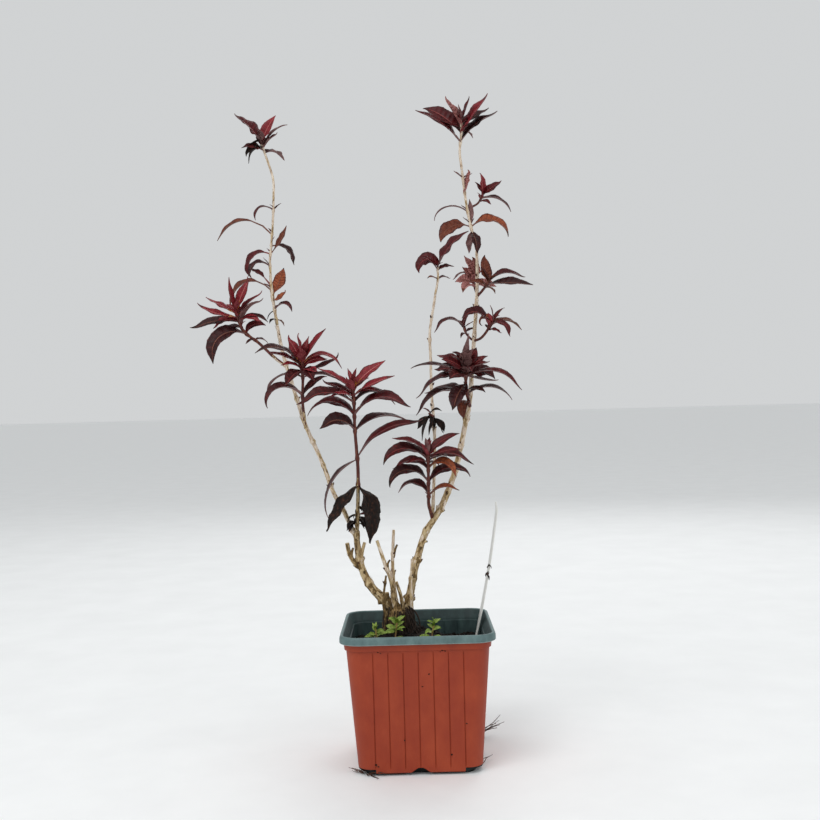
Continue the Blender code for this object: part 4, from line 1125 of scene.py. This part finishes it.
def square_ring(side, reach, radius, corner_shares):
    """A ring round Z: one side and the corner that follows it, turned four times."""
    part = list(side)
    for share in corner_shares:
        angle = math.radians(-90.0 + 90.0 * share)
        part.append(Vector((reach + radius * math.cos(angle), -reach + radius * math.sin(angle), side[0].z)))
    return [turn @ point for turn in QUARTER_TURNS for point in part]


def wall_width(height):
    """Outer width of the pot's tapering body at a height."""
    return BASE_WIDTH + (BODY_TOP_WIDTH - BASE_WIDTH) * height / (POT_HEIGHT - RIM_HEIGHT)


def pot_ring(width, radius, height, press):
    """Points round the pot: four sides with pressed-in grooves, and four round corners."""
    reach = width / 2 - radius
    places = [(-reach, 0.0)]
    for groove in GROOVES:
        level = GROOVE_STEP if groove % 2 else 0.0
        middle = groove * PANEL
        places += [(middle - GROOVE_HALF, level - GROOVE_STEP), (middle - GROOVE_FLOOR, -GROOVE_DEPTH),
                   (middle + GROOVE_FLOOR, -GROOVE_DEPTH), (middle + GROOVE_HALF, -level)]
    places.append((reach, 0.0))
    side = [Vector((along, -width / 2 - depth * press, height)) for along, depth in places]
    return square_ring(side, reach, radius, [step / CORNER_STEPS for step in range(1, CORNER_STEPS)])


def pot_sections():
    """Width, corner radius, height, press of the grooves and finish of each section of the pot.

    They run from under its base, up its outside, over the rim and down its inside.
    """
    corner = CORNER_RADIUS
    # The foot's underside takes painted shadow.
    rows = [(BASE_WIDTH + wider, corner + rounder, z, 0, "slate_deep") for wider, rounder, z in POT_FOOT]
    rows += [(wall_width(z) + wider, corner + rounder, z + up, press, finish)
             for z, wider, rounder, up, press, finish in POT_WALL]
    rows += [(RIM_WIDTH - less, RIM_CORNER_RADIUS - sharper, POT_HEIGHT - down, 0, finish)
             for less, sharper, down, finish in POT_RIM]
    # The inside takes the slate with painted shade.
    return rows + [(wall_width(z) - less, corner - sharper, z, press, "slate_dark")
                   for z, less, sharper, press in POT_INSIDE]


def build_pot():
    batch = Batch()
    sections = pot_sections()
    rings = [pot_ring(*section[:4]) for section in sections]
    finishes = [section[4] for section in sections[1:] for _ in rings[0]]
    # The bottom cap inside takes the painted shade of the inside too.
    batch.add_rings(rings, finishes + ["clay", "slate_dark"])
    pot = batch.build("nursery_pot", ["pot"], POT_SHARP)
    cutters = [notch_cutter(side) for side in range(4)] + [corner_cutter(corner) for corner in range(4)]
    for cutter in cutters:
        cut = pot.modifiers.new(cutter.name, "BOOLEAN")
        cut.operation = "DIFFERENCE"
        cut.object = cutter
        cut.material_mode = "TRANSFER"
    bpy.context.view_layer.update()
    depsgraph = bpy.context.evaluated_depsgraph_get()
    mesh = bpy.data.meshes.new_from_object(pot.evaluated_get(depsgraph))
    pot.modifiers.clear()
    pot.data = mesh
    for cutter in cutters:
        bpy.data.objects.remove(cutter, do_unlink=True)


def cutter_object(name, bm, x, y, turn):
    mesh = bpy.data.meshes.new(name)
    bm.transform(Matrix.Translation((x, y, 0.0)) @ Matrix.Rotation(turn, 4, "Z"))
    bmesh.ops.scale(bm, vec=(MM, MM, MM), verts=bm.verts)
    bmesh.ops.recalc_face_normals(bm, faces=bm.faces)
    bm.to_mesh(mesh)
    bm.free()
    # The faces cut by the notches and holes take this finish: painted shadow.
    mesh.materials.append(material("slate_deep"))
    return add_object(name, mesh)


def notch_cutter(side):
    """A peaked drain notch in the middle of one lower edge."""
    turn = math.radians(90.0 * side)
    half = NOTCH_WIDTH / 2
    right = ((half, -1.0), (half, 1.2), (half / 2, 3.6), (1.4, NOTCH_HEIGHT))
    outline = [(-half, -1.0), *right] + [(-x, z) for x, z in right[:0:-1]]
    bm = bmesh.new()
    rings = [[bm.verts.new((x, y, z)) for x, z in outline] for y in (-6.0, 6.0)]
    for i in range(len(outline)):
        j = (i + 1) % len(outline)
        bm.faces.new((rings[0][i], rings[0][j], rings[1][j], rings[1][i]))
    bm.faces.new(rings[0][::-1])
    bm.faces.new(rings[1])
    reach = BASE_WIDTH / 2
    return cutter_object("notch_%d" % side, bm, reach * math.sin(turn), -reach * math.cos(turn), turn)


def corner_cutter(corner):
    """A drain hole that takes away the lower tip of one corner."""
    turn = math.radians(45.0 + 90.0 * corner)
    bm = bmesh.new()
    bmesh.ops.create_cube(bm, size=1.0)
    bmesh.ops.scale(bm, vec=(CORNER_HOLE, CORNER_HOLE, 2 * NOTCH_HEIGHT - 1.0), verts=bm.verts)
    reach = BASE_WIDTH / math.sqrt(2)
    return cutter_object("corner_%d" % corner, bm, reach * math.cos(turn), reach * math.sin(turn), turn)


# Soil

def soil_ring(share, height_at, level=SOIL_TOP):
    width = wall_width(level) - 3.4
    corner = min(CORNER_RADIUS - WALL, width * share / 3)
    reach = width * share / 2 - corner
    side = [Vector((-reach + 2 * reach * step / SIDE_STEPS, -width * share / 2, 0.0))
            for step in range(SIDE_STEPS)]
    shares = [step / SOIL_CORNER_STEPS for step in range(SOIL_CORNER_STEPS)]
    shift = Vector((*CROWN_CENTRE, 0.0)) * (1.0 - share)
    return [point + shift + UP * height_at(point + shift, share)
            for point in square_ring(side, reach, corner, shares)]


def soil_height(point, share):
    """The mound of the source, made rough."""
    rise = min(1.0, max(0.0, (MOUND_FOOT - share) / (MOUND_FOOT - MOUND_TOP)))
    rough = 1.5 * noise.noise(point * 0.13) + 0.9 * noise.noise(point * 0.4) + 0.4 * noise.noise(point * 1.1)
    return SOIL_TOP + SOIL_MOUND * rise * rise * (3.0 - 2.0 * rise) + rough - 0.4


def crumb(batch, place, size, rng, finish):
    """An uneven grain."""
    points, faces = ball(1, size)
    squeeze = random_vector(rng, (0.7, 1.3), (0.7, 1.3), (0.5, 1.0))
    batch.add([place + point * squeeze * rng.uniform(0.75, 1.2) for point in points], faces, finish)


def build_soil():
    batch = Batch()
    rings = [soil_ring(1.0, lambda point, share: SOIL_FOOT, SOIL_FOOT)]
    rings += [soil_ring(1.0 - ring / SOIL_RINGS * 0.98, soil_height) for ring in range(SOIL_RINGS)]
    batch.add_rings(rings, "soil")
    rng = random.Random(31)
    for _ in range(CRUMBS):
        ring = soil_ring(0.98 * math.sqrt(rng.random()), soil_height)
        crumb(batch, rng.choice(ring), 0.35 + 1.6 * rng.random() ** 3, rng, "soil")
    for _ in range(GRITS):
        ring = soil_ring(0.95 * math.sqrt(rng.random()), soil_height)
        crumb(batch, rng.choice(ring) + UP * 0.3, rng.uniform(0.3, 0.7), rng, "grit")
    batch.build("potting_soil", ["soil"])


def build_specks():
    """Specks of soil that cling to the front of the pot."""
    batch = Batch()
    rng = random.Random(8)
    for x, z in SPECKS:
        crumb(batch, Vector((x, -wall_width(z) / 2, z)), rng.uniform(0.4, 0.75), rng, "soil")
    batch.build("soil_specks")


# Label, rootlets and scraps

def build_label():
    """A thin blank strip, a little bowed, with a rounded and slightly hooked top."""
    foot = Vector(LABEL_FOOT)
    top = Vector(LABEL_TOP)
    start = foot.lerp(top, (SOIL_TOP - 1.0 - foot.z) / (top.z - foot.z))
    rings = []
    for row in range(LABEL_ROWS + 1):
        share = row / LABEL_ROWS
        width = LABEL_WIDTH * min(1.0, 0.5 + 2.5 * share)
        if share > LABEL_ROUND_FROM:
            width *= math.sqrt(max(0.04, 1.0 - ((share - LABEL_ROUND_FROM) / 0.075) ** 2))
        bow = 1.1 * math.sin(math.pi * share) - 1.2 * max(0.0, share - 0.94) / 0.06
        centre = start.lerp(top, share) + Vector((bow, 0.0, 0.0))
        rings.append([centre + Vector((x * LABEL_THICKNESS / 2, y * width / 2, 0.0))
                      for x, y in LABEL_SECTION])
    batch = Batch()
    batch.add_rings(rings, "label")
    batch.build("blank_label", ["plant_label"])


def build_rootlets():
    """Fine roots that have come out under the edge of the pot and lie on the ground."""
    batch = Batch()
    rng = random.Random(5)
    for start, course, count in ROOTLETS:
        for _ in range(count):
            points = [Vector(start) + random_vector(rng, (-2, 2), (-2, 2), (-0.4, 0.8))]
            way = Vector(course)
            for _ in range(6):
                way = way + random_vector(rng, (-0.7, 0.7), (-0.7, 0.7), (-0.3, 0.32))
                points.append(points[-1] + way * rng.uniform(0.8, 1.5))
                points[-1].z = max(points[-1].z, 0.4)
            size = rng.uniform(0.2, 0.46)
            relief = bark_relief(size * 90.0, 0.25)
            tube(batch, smooth_path(points, 0.7), taper(size, 0.4 * size), ROOTLET_SIDES, "bud", relief)
    batch.build("drain_rootlets")


def shrivelled_bits():
    """Dark dried leaf scraps that hang on the label and round the foot of the middle spray."""
    batch = Batch()
    rng = random.Random(4)
    for place, first, count, length in SCRAPS:
        for number in range(count):
            spread = random_vector(rng, (-0.6, 0.6), (-0.6, 0.6), (-2.0, 2.0))
            leaf = Leaf(length * rng.uniform(0.7, 1.1), rng.uniform(-50, 20), rng.uniform(-110, -80), 1.3)
            heading = first + 360.0 * number / count + rng.uniform(-25, 25)
            grow_leaf(batch, Vector(place) + spread, leaf, heading, rng.uniform(-60, 60), "black", rng)
    batch.build("dried_scraps")


# Floor, lights and camera

def build_floor():
    mesh = bpy.data.meshes.new("floor")
    corners = [(x * FLOOR_REACH, y * FLOOR_REACH, 0) for x, y in ((-1, -1), (1, -1), (1, 1), (-1, 1))]
    mesh.from_pydata(corners, [], [(0, 1, 2, 3)])
    mesh.materials.append(material("floor"))
    floor = add_object("floor", mesh)


def light_scene():
    world = bpy.data.worlds.new("studio")
    world.use_nodes = True
    background = world.node_tree.nodes["Background"]
    background.inputs["Color"].default_value = shade(*WORLD_COLOUR)
    background.inputs["Strength"].default_value = WORLD_STRENGTH
    bpy.context.scene.world = world
    bpy.context.scene.view_settings.view_transform = "Standard"
    for name, (place, target, size, power) in LIGHTS.items():
        lamp = bpy.data.lights.new(name, "AREA")
        lamp.energy = power
        lamp.size = size
        item = add_object(name, lamp)
        item.location = place
        item.rotation_euler = (Vector(target) - Vector(place)).to_track_quat("-Z", "Y").to_euler()


def add_camera():
    lens = bpy.data.cameras.new("camera")
    lens.sensor_fit = "HORIZONTAL"
    lens.sensor_width = CAMERA_SENSOR
    lens.lens = CAMERA_LENS
    camera = add_object("camera", lens)
    upright = Euler((math.pi / 2, 0.0, 0.0)).to_matrix().to_4x4()
    lean = Matrix.Rotation(math.radians(CAMERA_LEAN), 4, "Z")
    camera.matrix_world = Matrix.Translation(CAMERA_PLACE) @ upright @ lean
    bpy.context.scene.camera = camera


def main():
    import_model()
    noise.seed_set(NOISE_SEED)
    grow_limbs()
    grow_sprays()
    build_pot()
    build_specks()
    build_soil()
    build_label()
    build_rootlets()
    shrivelled_bits()
    build_floor()
    light_scene()
    add_camera()


main()
